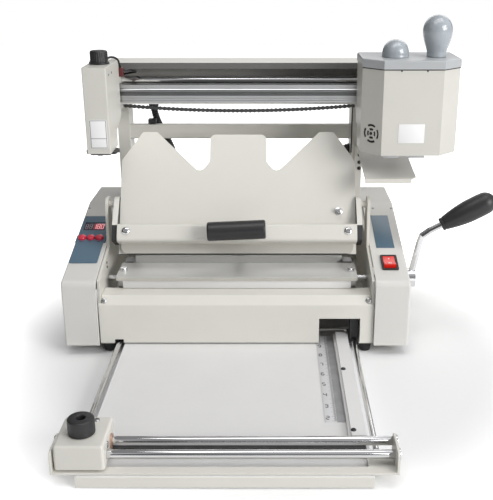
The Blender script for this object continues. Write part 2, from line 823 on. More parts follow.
def side_plate(name, side):
    plate = piece(name, slab(side_outline(), "X", side * SIDE_INNER_X, side * SIDE_OUTER_X), WHITE)
    flange_low = (side * (SIDE_OUTER_X - SIDE_FLANGE), SIDE_FRONT_Y, COVER_BOTTOM)
    flange_high = (side * (SIDE_INNER_X + SIDE_SHEET / 2), BODY_BACK_Y, COVER_BOTTOM + SIDE_FLANGE_SHEET)
    fuse(plate, block(flange_low, flange_high))
    reach = (SIDE_INNER_X - OVERRUN) * side, (SIDE_OUTER_X + OVERRUN) * side
    bores = [
        rod((reach[0], CLAMP_Y, CLAMP_Z), (reach[1], CLAMP_Y, CLAMP_Z), TRUNNION_RADIUS + RUN),
        rod((reach[0], SHAFT_Y, SHAFT_Z), (reach[1], SHAFT_Y, SHAFT_Z), SHAFT_RADIUS + RUN),
    ]
    return cut(plate, *bores)


def rubber_foot(name, side, y):
    height = COVER_BOTTOM - GAP
    profile = [
        (0, 0),
        (FOOT_BOTTOM_RADIUS - FOOT_EDGE, 0),
        (FOOT_BOTTOM_RADIUS, FOOT_EDGE),
        (FOOT_TOP_RADIUS, height - FOOT_EDGE),
        (FOOT_TOP_RADIUS, height),
        (0, height),
    ]
    return piece(name, turned(profile, (side * FOOT_X, y, 0)), RUBBER)


# Front panel, base plate and rear housing


def front_panel():
    path = [
        (DECK_BACK_Y, BASE_TOP + GAP),
        (DECK_BACK_Y, DECK_TOP),
        (DECK_FRONT_Y, DECK_TOP),
        (PANEL_Y, PANEL_BEND),
        (PANEL_Y, PANEL_BOTTOM),
    ]
    outline = folded(path[::-1], PANEL_SHEET)
    panel = piece("front_panel", slab(outline, "X", -SIDE_OUTER_X, SIDE_OUTER_X), CREAM)
    front, back = PANEL_Y - OVERRUN, PANEL_Y + PANEL_SHEET + OVERRUN
    under = PANEL_BOTTOM - OVERRUN
    notches = [
        block((NOTCH_LEFT_X, front, under), (NOTCH_RIGHT_X, back, NOTCH_TOP)),
        block(
            (-TABLE_ROD_X - ROD_NOTCH_HALF, front, under),
            (-TABLE_ROD_X + ROD_NOTCH_HALF, back, ROD_NOTCH_TOP),
        ),
    ]
    side_relief = [
        block(
            (side * (SIDE_INNER_X - GAP), SIDE_FRONT_Y - GAP, BASE_TOP - OVERRUN),
            (side * (SIDE_OUTER_X + OVERRUN), DECK_BACK_Y + OVERRUN, COVER_TOP),
        )
        for side in (-1, 1)
    ]
    cut(panel, *notches)
    return cut(panel, *side_relief)


def table_hangers():
    """The legs under the base plate that the table's rods slide through, and their bores."""
    half = TABLE_ROD_RADIUS + BUSH_WALL
    front, back = BUSH_FRONT_Y, BUSH_FRONT_Y + BUSH_LENGTH
    hangers = []
    bores = []
    for side in (-1, 1):
        x = side * TABLE_ROD_X
        top = BASE_BOTTOM + BASE_SHEET / 2
        hangers.append(block((x - half, front, TABLE_ROD_Z - half), (x + half, back, top)))
        start, end = (x, front - OVERRUN, TABLE_ROD_Z), (x, back + OVERRUN, TABLE_ROD_Z)
        bores.append(rod(start, end, TABLE_ROD_RADIUS + RUN))
    return hangers, bores


def base_plate():
    narrow, wide = SIDE_INNER_X - GAP, COLUMN_OUTER_X
    step = SIDE_BACK_Y + GAP
    outline = [
        (-narrow, SIDE_FRONT_Y),
        (narrow, SIDE_FRONT_Y),
        (narrow, step),
        (wide, step),
        (wide, BODY_BACK_Y),
        (-wide, BODY_BACK_Y),
        (-wide, step),
        (-narrow, step),
    ]
    plate = piece("base_plate", slab(outline, "Z", BASE_BOTTOM, BASE_TOP), WHITE)
    hangers, bores = table_hangers()
    fuse(plate, *hangers)
    return cut(plate, *bores)


def rear_housing():
    half = COLUMN_INNER_X - GAP
    bottom = BASE_TOP + GAP
    shell = block((-half, HOUSING_FRONT_Y, bottom), (half, BODY_BACK_Y, HOUSING_TOP))
    soften(shell, both_at(2, HOUSING_TOP), HOUSING_ROUND)
    housing = piece("rear_housing", shell, CREAM)
    wall = HOUSING_SHEET
    cut(
        housing,
        block(
            (-half + wall, HOUSING_FRONT_Y + wall, bottom - OVERRUN),
            (half - wall, BODY_BACK_Y - wall, HOUSING_TOP - wall),
        ),
    )
    back, front = BODY_BACK_Y + OVERRUN, BODY_BACK_Y - OVERRUN
    slots = [
        block(
            (LOUVRE_X + k * LOUVRE_PITCH, front, LOUVRE_BOTTOM),
            (LOUVRE_X + k * LOUVRE_PITCH + LOUVRE_WIDTH, back, LOUVRE_BOTTOM + LOUVRE_HEIGHT),
        )
        for k in range(LOUVRE_COUNT)
    ]
    wide, tall = INLET_WIDTH / 2 + GAP, INLET_HEIGHT / 2 + GAP
    hole = block((INLET_X - wide, front, INLET_Z - tall), (INLET_X + wide, back, INLET_Z + tall))
    return cut(housing, hole, *slots)


def mains_inlet():
    wide, tall = INLET_WIDTH / 2, INLET_HEIGHT / 2
    face = BODY_BACK_Y + GAP + INLET_FLANGE
    body = block((INLET_X - wide, face - INLET_DEPTH, INLET_Z - tall), (INLET_X + wide, face, INLET_Z + tall))
    inlet = piece("mains_inlet", body, BLACK)
    rim = rectangle(
        INLET_X - wide - INLET_RIM,
        INLET_Z - tall - INLET_RIM,
        INLET_X + wide + INLET_RIM,
        INLET_Z + tall + INLET_RIM,
    )
    fuse(inlet, slab(rounded(rim, INLET_RIM), "Y", BODY_BACK_Y + GAP, face))
    inner_wide, inner_tall = wide - INLET_WALL, tall - INLET_WALL
    floor = face - INLET_SOCKET_DEPTH
    socket = rectangle(INLET_X - inner_wide, INLET_Z - inner_tall, INLET_X + inner_wide, INLET_Z + inner_tall)
    cut(inlet, slab(rounded(socket, [0, 0, INLET_RIM, INLET_RIM], 1), "Y", floor, face + OVERRUN))
    for step in (-1, 0, 1):
        x = INLET_X + step * INLET_PIN_PITCH
        z = INLET_Z + (INLET_PIN_RISE / 2 if step == 0 else -INLET_PIN_RISE / 2)
        low = (x - INLET_PIN_HALF_WIDTH, floor - INLET_WALL / 2, z - INLET_PIN_HALF_HEIGHT)
        high = (x + INLET_PIN_HALF_WIDTH, floor + INLET_PIN_LENGTH, z + INLET_PIN_HALF_HEIGHT)
        fuse(inlet, block(low, high))
    return inlet


# Columns, crossbar, beam and rails


def column_outline(side):
    outer, inner = side * COLUMN_OUTER_X, side * COLUMN_INNER_X
    wall = side * COLUMN_SHEET
    front, back = COLUMN_FRONT_Y, COLUMN_FRONT_Y + COLUMN_DEPTH
    return [
        (inner, front),
        (outer, front),
        (outer, back),
        (outer - wall, back),
        (outer - wall, front + COLUMN_SHEET),
        (inner + wall, front + COLUMN_SHEET),
        (inner + wall, back),
        (inner, back),
    ]


def column_frame():
    """Two channels that open to the back, welded together by the crossbar."""
    low, high = BASE_TOP + GAP, BEAM_BOTTOM - GAP
    frame = piece("column_frame", slab(column_outline(-1), "Z", low, high), CREAM)
    section = rectangle(CROSSBAR_Y, CROSSBAR_BOTTOM, CROSSBAR_Y + CROSSBAR_THICKNESS, CROSSBAR_TOP)
    weld = COLUMN_INNER_X + COLUMN_SHEET / 2
    fuse(frame, slab(rounded(section, CROSSBAR_ROUND, 2), "X", -weld, weld))
    return fuse(frame, slab(column_outline(1), "Z", low, high))


def beam():
    """A channel that opens to the front, with a plate on each end for the guide rod."""
    path = [
        (BEAM_FRONT_Y, BEAM_TOP - BEAM_LIP),
        (BEAM_FRONT_Y, BEAM_TOP),
        (BEAM_BACK_Y, BEAM_TOP),
        (BEAM_BACK_Y, BEAM_BOTTOM),
        (RAIL_FRONT_Y + BEAM_SHEET, BEAM_BOTTOM),
    ]
    body = piece("beam", slab(folded(path, BEAM_SHEET), "X", BEAM_LEFT_X, BEAM_RIGHT_X), WHITE)
    inset = BEAM_SHEET / 2
    end = rounded(
        rectangle(RAIL_BACK_Y + GAP, BEAM_BOTTOM + inset, BEAM_BACK_Y - inset, BEAM_TOP - inset), 0
    )
    fuse(body, slab(end, "X", BEAM_LEFT_X, BEAM_LEFT_X + BEAM_END_SHEET))
    fuse(body, slab(end, "X", BEAM_RIGHT_X - BEAM_END_SHEET, BEAM_RIGHT_X))
    return fuse(body, *chain_anchors())


def guide_rod():
    left = BEAM_LEFT_X + BEAM_END_SHEET + GAP
    right = BEAM_RIGHT_X - BEAM_END_SHEET - GAP
    bar = rod((left, GUIDE_Y, GUIDE_Z), (right, GUIDE_Y, GUIDE_Z), GUIDE_RADIUS, FINE)
    return piece("guide_rod", bar, CHROME)


def rail_outline():
    """The rail's section: thin grooves low on its face, and a half-round ridge in a step above them."""
    face = RAIL_FRONT_Y
    points = [(face, RAIL_BOTTOM)]
    for k in range(RAIL_GROOVE_COUNT):
        low = RAIL_BOTTOM + (k + 1) * RAIL_GROOVE_PITCH - RAIL_GROOVE / 2
        points += [
            (face, low),
            (face + RAIL_GROOVE, low),
            (face + RAIL_GROOVE, low + RAIL_GROOVE),
            (face, low + RAIL_GROOVE),
        ]
    step = face + RAIL_STEP
    start = RAIL_RIDGE_Z - RAIL_RIDGE_RADIUS
    points += [(face, start - RAIL_GROOVE), (step, start - RAIL_GROOVE)]
    for k in range(7):
        angle = math.pi * k / 6
        reach = (RAIL_STEP - GAP) * math.sin(angle)
        points.append((step - reach, RAIL_RIDGE_Z - RAIL_RIDGE_RADIUS * math.cos(angle)))
    points += [(step, RAIL_TOP), (RAIL_BACK_Y, RAIL_TOP), (RAIL_BACK_Y, RAIL_BOTTOM)]
    return points


def lower_rail():
    """The grooved rail, with the two tabs under the beam that hold the chain's ends."""
    rail = slab(rail_outline(), "X", BEAM_LEFT_X, BEAM_RIGHT_X)
    return piece("lower_rail", rail, ALUMINIUM)


def chain_joints():
    """The chain's joints: one pitch apart along a sagging line between its anchors."""
    span = CHAIN_LINKS * CHAIN_PITCH
    fine = np.linspace(0, 1, 2001)
    x = CHAIN_LEFT_X + span * fine
    z = CHAIN_END_Z - 4 * CHAIN_SAG * fine * (1 - fine)
    length = np.concatenate([[0], np.cumsum(np.hypot(np.diff(x), np.diff(z)))])
    steps = np.arange(CHAIN_LINKS + 1) * (length[-1] / CHAIN_LINKS)
    return list(zip(np.interp(steps, length, x), np.interp(steps, length, z)))


def link_row(joints, y):
    """One side of the chain: a row of link plates, widest at each joint and waisted between joints."""
    wide = CHAIN_PLATE_RADIUS
    waist = CHAIN_PLATE_RADIUS * 0.62
    upper = []
    lower = []
    for i, (x, z) in enumerate(joints):
        upper.append((x, z + wide))
        lower.append((x, z - wide))
        if i < len(joints) - 1:
            after = joints[i + 1]
            middle = ((x + after[0]) / 2, (z + after[1]) / 2)
            upper.append((middle[0], middle[1] + waist))
            lower.append((middle[0], middle[1] - waist))
    first, last = joints[0], joints[-1]
    outline = [(first[0] - wide, first[1]), *upper, (last[0] + wide, last[1]), *lower[::-1]]
    return slab(outline, "Y", y, y + CHAIN_PLATE)


def head_chain():
    """The chain that hangs under the beam: two rows of link plates on one roller at each joint."""
    joints = chain_joints()
    half = CHAIN_INNER_WIDTH / 2
    chain = piece("head_chain", link_row(joints, CHAIN_Y - half - CHAIN_PLATE), STEEL)
    reach = half + CHAIN_PLATE / 2
    front, back = CHAIN_Y - reach, CHAIN_Y + reach
    rollers = [rod((x, front, z), (x, back, z), CHAIN_ROLLER_RADIUS, 6) for x, z in joints]
    boolean(chain, rollers, "UNION", "_rollers")
    return fuse(chain, link_row(joints, CHAIN_Y + half))


def chain_anchors():
    """The tabs under the beam that hold the chain's two ends."""
    shapes = []
    joints = chain_joints()
    for side, (x, z) in ((-1, joints[0]), (1, joints[-1])):
        near = x + side * (CHAIN_PLATE_RADIUS + GAP)
        far = near + side * ANCHOR_LENGTH
        low = (min(near, far), CHAIN_Y - ANCHOR_HALF_WIDTH, z - CHAIN_PLATE_RADIUS)
        high = (max(near, far), CHAIN_Y + ANCHOR_HALF_WIDTH, BEAM_BOTTOM + BEAM_SHEET / 2)
        shapes.append(block(low, high))
    return shapes


def smooth_route(points, spacing):
    """Points at even spacing along a Catmull-Rom curve through the route."""
    ends = [2 * points[0] - points[1], *points, 2 * points[-1] - points[-2]]
    dense = []
    for before, a, b, after in zip(ends, ends[1:], ends[2:], ends[3:]):
        for t in np.linspace(0, 1, 40, endpoint=False):
            dense.append(
                0.5
                * (2 * a + (b - before) * t + (2 * before - 5 * a + 4 * b - after) * t**2
                   + (3 * a - before - 3 * b + after) * t**3)
            )
    dense = np.array(dense + [points[-1]])
    length = np.concatenate([[0], np.cumsum(np.linalg.norm(np.diff(dense, axis=0), axis=1))])
    count = max(2, round(length[-1] / spacing))
    steps = np.linspace(0, length[-1], count + 1)
    return np.stack([np.interp(steps, length, dense[:, k]) for k in range(3)], axis=1)


def swept(name, points, radii, resolution):
    """A tube mesh along these points, from a curve with a bevel and filled caps."""
    curve = bpy.data.curves.new(name + "_curve", "CURVE")
    curve.dimensions = "3D"
    curve.bevel_depth = 1
    curve.bevel_resolution = resolution
    curve.use_fill_caps = True
    spline = curve.splines.new("POLY")
    spline.points.add(len(points) - 1)
    for target, point, radius in zip(spline.points, points, radii):
        target.co = (*point, 1)
        target.radius = radius
    holder = bpy.data.objects.new(name + "_curve", curve)
    bpy.context.scene.collection.objects.link(holder)
    graph = bpy.context.evaluated_depsgraph_get()
    mesh = bpy.data.meshes.new_from_object(holder.evaluated_get(graph))
    bpy.data.objects.remove(holder)
    bm = bmesh.new()
    bm.from_mesh(mesh)
    bmesh.ops.remove_doubles(bm, verts=bm.verts, dist=GAP / 100)
    bmesh.ops.recalc_face_normals(bm, faces=bm.faces)
    return bm


def conduit_route():
    top = BEAM_BOTTOM - GAP
    end = COLUMN_INNER_X - GAP
    straight = 2 * CONDUIT_RADIUS
    route = [(CONDUIT_START_X, top), *CONDUIT_ROUTE, (end - straight, CONDUIT_END_Z), (end, CONDUIT_END_Z)]
    return [np.array((x, CONDUIT_Y, z)) for x, z in route]


def cable_conduit():
    """The ribbed hose that carries the heads' wires, from the beam's underside to the right column."""
    points = smooth_route(conduit_route(), CONDUIT_RIB_PITCH / 2)
    radii = [CONDUIT_RADIUS if i % 2 else CONDUIT_VALLEY_RADIUS for i in range(len(points))]
    hose = piece("cable_conduit", swept("conduit", points, radii, 2), BLACK)
    bore = smooth_route(conduit_route(), CONDUIT_RIB_PITCH * 2)
    past_start = bore[0] + np.array((0, 0, OVERRUN))
    past_end = bore[-1] + np.array((OVERRUN, 0, 0))
    bore = np.vstack([past_start, bore, past_end])
    return cut(hose, swept("conduit_bore", bore, [CONDUIT_BORE_RADIUS] * len(bore), 1))


def drip_tray():
    """The bent shelf under the parked glue head. It slopes down to a lip at the front, for the glue."""
    back = COLUMN_FRONT_Y - GAP
    path = [
        (TRAY_FRONT_Y, TRAY_FRONT_Z - TRAY_LIP),
        (TRAY_FRONT_Y, TRAY_FRONT_Z),
        (RAIL_FRONT_Y, TRAY_BACK_Z),
        (back, TRAY_BACK_Z),
    ]
    tray = piece("drip_tray", slab(folded(path, TRAY_SHEET), "X", TRAY_LEFT_X, TRAY_RIGHT_X), CREAM)
    tab = block((TRAY_LEFT_X, back - TRAY_SHEET, TRAY_TAB_BOTTOM), (COLUMN_OUTER_X, back, TRAY_BACK_Z))
    fuse(tray, tab)
    right, front = TRAY_RIGHT_X + OVERRUN, TRAY_FRONT_Y - OVERRUN
    low, high = TRAY_FRONT_Z - TRAY_LIP - OVERRUN, TRAY_BACK_Z + OVERRUN
    front_corner = [(right - TRAY_CORNER, front), (right, front), (right, front + TRAY_CORNER)]
    rear_corner = [
        (TRAY_RIGHT_X, RAIL_FRONT_Y),
        (right, RAIL_FRONT_Y),
        (right, back + OVERRUN),
        (TRAY_HANGER_X, back + OVERRUN),
    ]
    return cut(tray, slab(front_corner, "Z", low, high), slab(rear_corner, "Z", low, high))


# Nip station


def front_nip_plate():
    plate = block((-NIP_HALF_WIDTH, NIP_FRONT_Y, NIP_BOTTOM), (NIP_HALF_WIDTH, NIP_BACK_Y, NIP_TOP))
    soften(plate, along(2), NIP_CORNER)
    return piece("front_nip_plate", plate, WHITE)


def guide_block(side):
    """The block at one end of the nip bar, and the groove in it that the bar's tongue slides in."""
    middle = (BAR_BOTTOM + BAR_TOP) / 2
    front = NIP_BACK_Y + GAP
    back = BAR_BACK_Y + GAP
    start = BAR_HALF_WIDTH + RUN
    tall = GUIDE_TONGUE_HEIGHT / 2 + RUN
    low = (side * start, front, BASE_TOP + GAP)
    solid = block(low, (side * (start + GUIDE_BLOCK_WIDTH), back, GUIDE_BLOCK_TOP))
    low = (side * (start - OVERRUN), front - OVERRUN, middle - tall)
    high = (side * (BAR_HALF_WIDTH + GUIDE_TONGUE + RUN), BAR_BACK_Y + OVERRUN, middle + tall)
    foot_low = (side * (start + GAP), SUPPORT_BACK_Y - SUPPORT_FOOT / 2, BASE_TOP + GAP)
    foot_high = (side * (start + GUIDE_BLOCK_WIDTH - GAP), front + OVERRUN, BASE_TOP + NIP_TIE)
    return solid, block(foot_low, foot_high), block(low, high)


def support_outline():
    """The bridge that carries the nip plate's end, arched over the press shaft."""
    top = NIP_BOTTOM - GAP
    bottom = BASE_TOP + GAP
    front, back = SUPPORT_FRONT_Y, SUPPORT_BACK_Y
    return [
        (front, bottom),
        (front + SUPPORT_FOOT, bottom),
        (front + SUPPORT_FOOT, SUPPORT_ARCH_TOP),
        (back - SUPPORT_FOOT, SUPPORT_ARCH_TOP),
        (back - SUPPORT_FOOT, bottom),
        (back, bottom),
        (back, top),
        (front, top),
    ]


def nip_supports():
    """The black bridges under the nip plate with the bar's guide blocks, tied together by a low bar."""
    inner, outer = SUPPORT_INNER_X, SUPPORT_INNER_X + SUPPORT_WIDTH
    made = piece("nip_supports", slab(support_outline(), "X", -inner, -outer), BLACK)
    tie_low = (-inner - SUPPORT_WIDTH / 2, SUPPORT_FRONT_Y + GAP, BASE_TOP + 2 * GAP)
    tie_high = (inner + SUPPORT_WIDTH / 2, SUPPORT_FRONT_Y + SUPPORT_FOOT - GAP, BASE_TOP + NIP_TIE)
    fuse(made, block(tie_low, tie_high), slab(support_outline(), "X", inner, outer))
    grooves = []
    for side in (-1, 1):
        solid, foot, groove = guide_block(side)
        fuse(made, foot, solid)
        grooves.append(groove)
    reach = outer + OVERRUN
    return cut(made, rod((-reach, SHAFT_Y, SHAFT_Z), (reach, SHAFT_Y, SHAFT_Z), SHAFT_RADIUS + RUN), *grooves)


def rack_outline():
    """A rack seen from the side: straight teeth that hang down over the pinion."""
    pitch = math.pi * PINION_MODULE
    flank = math.tan(math.radians(20))
    tip = RACK_PITCH_Z - PINION_MODULE
    root = RACK_PITCH_Z + 1.25 * PINION_MODULE
    points = [(BAR_FRONT_Y + BAR_THICKNESS / 2, RACK_TOP), (RACK_FRONT_Y, RACK_TOP), (RACK_FRONT_Y, root)]
    half = (pitch / 2 - PINION_BACKLASH) / 2
    first = math.ceil((RACK_FRONT_Y - SHAFT_Y) / pitch + 0.5)
    last = math.floor((BAR_FRONT_Y - SHAFT_Y) / pitch - 1)
    for k in range(first, last + 1):
        y = SHAFT_Y + (k + 0.5) * pitch
        wide = half + (root - RACK_PITCH_Z) * flank
        thin = half - (RACK_PITCH_Z - tip) * flank
        points += [(y - wide, root), (y - thin, tip), (y + thin, tip), (y + wide, root)]
    points.append((BAR_FRONT_Y + BAR_THICKNESS / 2, root))
    return points


def rear_nip_bar(carrier):
    """The jaw that the racks pull forward. Its ends run in grooves of the guide blocks."""
    body = rounded(rectangle(BAR_FRONT_Y, BAR_BOTTOM, BAR_BACK_Y, BAR_TOP), BAR_ROUND, 2)
    bar = hung("rear_nip_bar", slab(body, "X", -BAR_HALF_WIDTH, BAR_HALF_WIDTH), ALUMINIUM, carrier)
    for side in (-1, 1):
        rack = slab(rack_outline(), "X", side * RACK_X - RACK_WIDTH / 2, side * RACK_X + RACK_WIDTH / 2)
        middle = (BAR_BOTTOM + BAR_TOP) / 2
        inset = BAR_THICKNESS / 4
        low = (side * (BAR_HALF_WIDTH - GUIDE_TONGUE), BAR_FRONT_Y + inset, middle - GUIDE_TONGUE_HEIGHT / 2)
        high = (side * (BAR_HALF_WIDTH + GUIDE_TONGUE), BAR_BACK_Y - inset, middle + GUIDE_TONGUE_HEIGHT / 2)
        fuse(bar, moved_to(carrier, rack), moved_to(carrier, block(low, high)))
    return bar


def pinion_outline():
    """Twelve short teeth, thinned by the backlash so that they run free in the racks."""
    addendum, dedendum = PINION_MODULE, 1.25 * PINION_MODULE
    pitch_angle = 2 * math.pi / PINION_TEETH
    half = pitch_angle / 4 - PINION_BACKLASH / PINION_RADIUS / 2
    base = PINION_RADIUS * math.cos(math.radians(20))
    spread = math.tan(math.radians(20)) - math.radians(20)
    flank = []
    for radius in np.linspace(max(base, PINION_RADIUS - dedendum), PINION_RADIUS + addendum * 0.9, 2):
        roll = math.acos(min(1.0, base / radius))
        flank.append((radius, half + spread - (math.tan(roll) - roll)))
    points = []
    for k in range(PINION_TEETH):
        middle = k * pitch_angle
        side = [(PINION_RADIUS - dedendum, flank[0][1])] + flank
        tooth = [(r, middle - a) for r, a in side] + [(r, middle + a) for r, a in reversed(side)]
        points += [(r * math.sin(a), r * math.cos(a)) for r, a in tooth]
    return points


def press_lever(carrier):
    """The shaft across the body with a pinion under each rack, and outside it the hub and the cranked rod."""
    foot = Vector((LEVER_FOOT_X, 0, 0))
    knee = Vector((LEVER_KNEE_X, 0, LEVER_KNEE_Z - SHAFT_Z))
    grip = Vector((LEVER_GRIP_X, 0, LEVER_GRIP_Z - SHAFT_Z))
    end = grip + (grip - knee).normalized() * GRIP_SOCKET
    bend = (knee - foot).normalized(), (grip - knee).normalized()
    points = [foot, knee - bend[0] * HUB_RADIUS]
    points += [knee.lerp(knee - bend[0] * HUB_RADIUS, 0.3).lerp(knee + bend[1] * HUB_RADIUS / 3, 0.3)]
    points += [knee + bend[1] * HUB_RADIUS, end]
    shaft = rod((SHAFT_LEFT_X, 0, 0), (LEVER_FOOT_X, 0, 0), SHAFT_RADIUS)
    lever = piece("press_lever", shaft, CHROME, carrier)
    for side in (-1, 1):
        low, high = side * RACK_X - PINION_FACE / 2, side * RACK_X + PINION_FACE / 2
        fuse(lever, slab(pinion_outline(), "X", low, high))
    fuse(lever, rod((HUB_START_X, 0, 0), (HUB_END_X, 0, 0), HUB_RADIUS, FINE))
    return fuse(lever, swept("lever", points, [LEVER_RADIUS] * len(points), 3))


def lever_grip(carrier):
    knee = Vector((LEVER_KNEE_X, 0, LEVER_KNEE_Z - SHAFT_Z))
    grip = Vector((LEVER_GRIP_X, 0, LEVER_GRIP_Z - SHAFT_Z))
    heading = (grip - knee).normalized()
    profile = [
        (LEVER_RADIUS + GAP, 0),
        (GRIP_NECK_RADIUS, 0),
        (GRIP_NECK_RADIUS + GRIP_EDGE / 2, GRIP_EDGE),
        (GRIP_RADIUS, GRIP_LENGTH * 0.55),
        (GRIP_RADIUS, GRIP_LENGTH * 0.8),
        (GRIP_RADIUS * 0.86, GRIP_LENGTH * 0.93),
        (GRIP_RADIUS * 0.5, GRIP_LENGTH * 0.99),
        (0, GRIP_LENGTH),
        (0, GRIP_SOCKET + GAP),
        (LEVER_RADIUS + GAP, GRIP_SOCKET + GAP),
        (LEVER_RADIUS + GAP, 0),
    ]
    return piece("lever_grip", turned(profile, grip, heading, FINE), BLACK, carrier)


# Page clamp, drawn in its own leaning frame


def rest_outline():
    """The page rest: two peaks for the book's corners, a middle tab and two round-bottomed valleys."""
    half = CLAMP_HALF_WIDTH
    right = [
        (half, REST_BOTTOM, 0),
        (half, REST_SHOULDER, REST_TAB_ROUND),
        (REST_PEAK_OUTER_X, REST_PEAK, REST_TAB_ROUND / 2),
        (REST_PEAK_INNER_X, REST_PEAK, REST_TAB_ROUND / 2),
        (REST_NOTCH_X, REST_NOTCH_Z, REST_NOTCH_ROUND),
        (REST_TAB_X, REST_NOTCH_Z + REST_NOTCH_ROUND * 2, REST_NOTCH_ROUND),
        (REST_TAB_X, REST_TAB_TOP, REST_TAB_ROUND),
    ]
    corners = right + [(-x, z, r) for x, z, r in reversed(right)]
    return rounded([(x, z) for x, z, r in corners], [r for x, z, r in corners])


def jaw_rod_holes(radius, front, back):
    return [
        rod((side * JAW_ROD_X, front, JAW_ROD_Z), (side * JAW_ROD_X, back, JAW_ROD_Z), radius)
        for side in (-1, 1)
    ]


def page_rest(carrier):
    rest = piece("page_rest", slab(rest_outline(), "Y", REST_FRONT, REST_BACK), WHITE, carrier)
    front, back = REST_FRONT - OVERRUN, REST_BACK + OVERRUN
    screw = rod((0, front, SCREW_Z), (0, back, SCREW_Z), SCREW_RADIUS + RUN)
    return cut(rest, screw, *jaw_rod_holes(JAW_ROD_RADIUS + RUN, front, back))


def rear_jaw(carrier):
    top, back = REAR_JAW_TOP, REAR_JAW_BACK
    outline = [
        (REST_FRONT, BLADE_BOTTOM),
        (REST_FRONT, REST_BOTTOM - GAP),
        (REST_BACK + GAP, REST_BOTTOM - GAP),
        (REST_BACK + GAP, top),
        (back, top),
        (back, BLADE_BOTTOM + REAR_JAW_CHAMFER),
        (back - REAR_JAW_CHAMFER, BLADE_BOTTOM),
    ]
    jaw = piece("rear_jaw", slab(outline, "X", -CLAMP_HALF_WIDTH, CLAMP_HALF_WIDTH), CREAM, carrier)
    screw = rod((0, REST_FRONT - OVERRUN, SCREW_Z), (0, back + OVERRUN, SCREW_Z), SCREW_RADIUS + RUN)
    return cut(jaw, screw, *jaw_rod_holes(JAW_ROD_RADIUS + RUN, REST_FRONT - OVERRUN, back + OVERRUN))


def clamp_end_plate(name, side, carrier):
    """A black plate that closes one end of the clamp, with the trunnion that turns in the ear."""
    corners = [
        (END_PLATE_FRONT, REST_BOTTOM),
        (END_PLATE_FRONT, END_PLATE_KNEE),
        (-END_PLATE_TOP_RADIUS, END_PLATE_TOP_RADIUS),
        (END_PLATE_TOP_RADIUS, END_PLATE_TOP_RADIUS),
        (REAR_JAW_BACK, REAR_JAW_TOP),
        (REAR_JAW_BACK, REST_BOTTOM),
    ]
    edge = END_PLATE_TOP_RADIUS
    outline = rounded(corners, [edge / 3, edge / 2, edge * 0.9, edge * 0.9, edge / 3, edge / 3])
    start = CLAMP_HALF_WIDTH + GAP
    sheet = slab(outline, "X", side * start, side * (start + END_PLATE_THICKNESS))
    plate = piece(name, sheet, BLACK, carrier)
    inner, outer = side * (start + GAP), side * (SIDE_OUTER_X - GAP)
    return fuse(plate, rod((inner, 0, 0), (outer, 0, 0), TRUNNION_RADIUS))


def front_jaw(carrier):
    """The moving jaw: a rounded bar, the blade below it and the two guide rods behind it."""
    corners = rectangle(JAW_FRONT, JAW_BOTTOM, JAW_BACK, JAW_TOP)
    outline = rounded(corners, [JAW_ROUND, 0, 0, JAW_ROUND], 3)
    bar = slab(outline, "X", -CLAMP_HALF_WIDTH, CLAMP_HALF_WIDTH)
    jaw = piece("front_jaw", bar, WHITE, carrier)
    top = (JAW_BOTTOM + JAW_TOP) / 2
    blade = rounded(
        rectangle(-BLADE_HALF_WIDTH, BLADE_BOTTOM, BLADE_HALF_WIDTH, top), [BLADE_ROUND, BLADE_ROUND, 0, 0]
    )
    fuse(jaw, slab(blade, "Y", JAW_BACK - BLADE_THICKNESS, JAW_BACK))
    rod_end = REAR_JAW_BACK + JAW_TRAVEL + JAW_ROD_SPARE
    fuse(jaw, *jaw_rod_holes(JAW_ROD_RADIUS, JAW_BACK - BLADE_THICKNESS, rod_end))
    reach = (JAW_FRONT - OVERRUN, JAW_BACK + OVERRUN)
    return cut(jaw, rod((0, reach[0], SCREW_Z), (0, reach[1], SCREW_Z), SCREW_RADIUS + RUN))


def clamp_screw(carrier):
    """The screw that the handle turns, with the collar that pushes on the jaw."""
    tail = REAR_JAW_BACK + JAW_TRAVEL + JAW_ROD_SPARE
    screw = piece("clamp_screw", rod((0, HANDLE_Y, 0), (0, tail, 0), SCREW_RADIUS), STEEL, carrier)
    near = JAW_FRONT - GAP
    return fuse(screw, rod((0, near - SCREW_COLLAR, 0), (0, near, 0), SCREW_COLLAR_RADIUS))


def tee_handle(carrier):
    """The black cross handle on the clamp screw."""
    half = HANDLE_LENGTH / 2
    profile = [
        (0, -half),
        (HANDLE_RADIUS - HANDLE_EDGE, -half),
        (HANDLE_RADIUS - HANDLE_EDGE * 0.3, -half + HANDLE_EDGE * 0.3),
        (HANDLE_RADIUS, -half + HANDLE_EDGE),
        (HANDLE_RADIUS, half - HANDLE_EDGE),
        (HANDLE_RADIUS - HANDLE_EDGE * 0.3, half - HANDLE_EDGE * 0.3),
        (HANDLE_RADIUS - HANDLE_EDGE, half),
        (0, half),
    ]
    tilt = math.radians(HANDLE_TILT)
    heading = (math.cos(tilt), 0, math.sin(tilt))
    handle = piece("tee_handle", turned(profile, (0, HANDLE_Y, 0), heading, FINE), BLACK, carrier)
    seat = HANDLE_Y - GAP
    return cut(handle, rod((0, seat, 0), (0, HANDLE_Y + HANDLE_RADIUS + OVERRUN, 0), SCREW_RADIUS + GAP))


# Milling head


def mill_profile(inset, bottom):
    front, back = MILL_FRONT_Y + inset, MILL_BACK_Y - inset
    chin = MILL_CHIN_Y - inset
    return [
        (front, bottom),
        (chin, bottom),
        (chin, MILL_CHIN_TOP + inset),
        (back, MILL_NAPE_Z + inset),
        (back, MILL_TOP - inset),
        (front, MILL_TOP - inset),
    ]


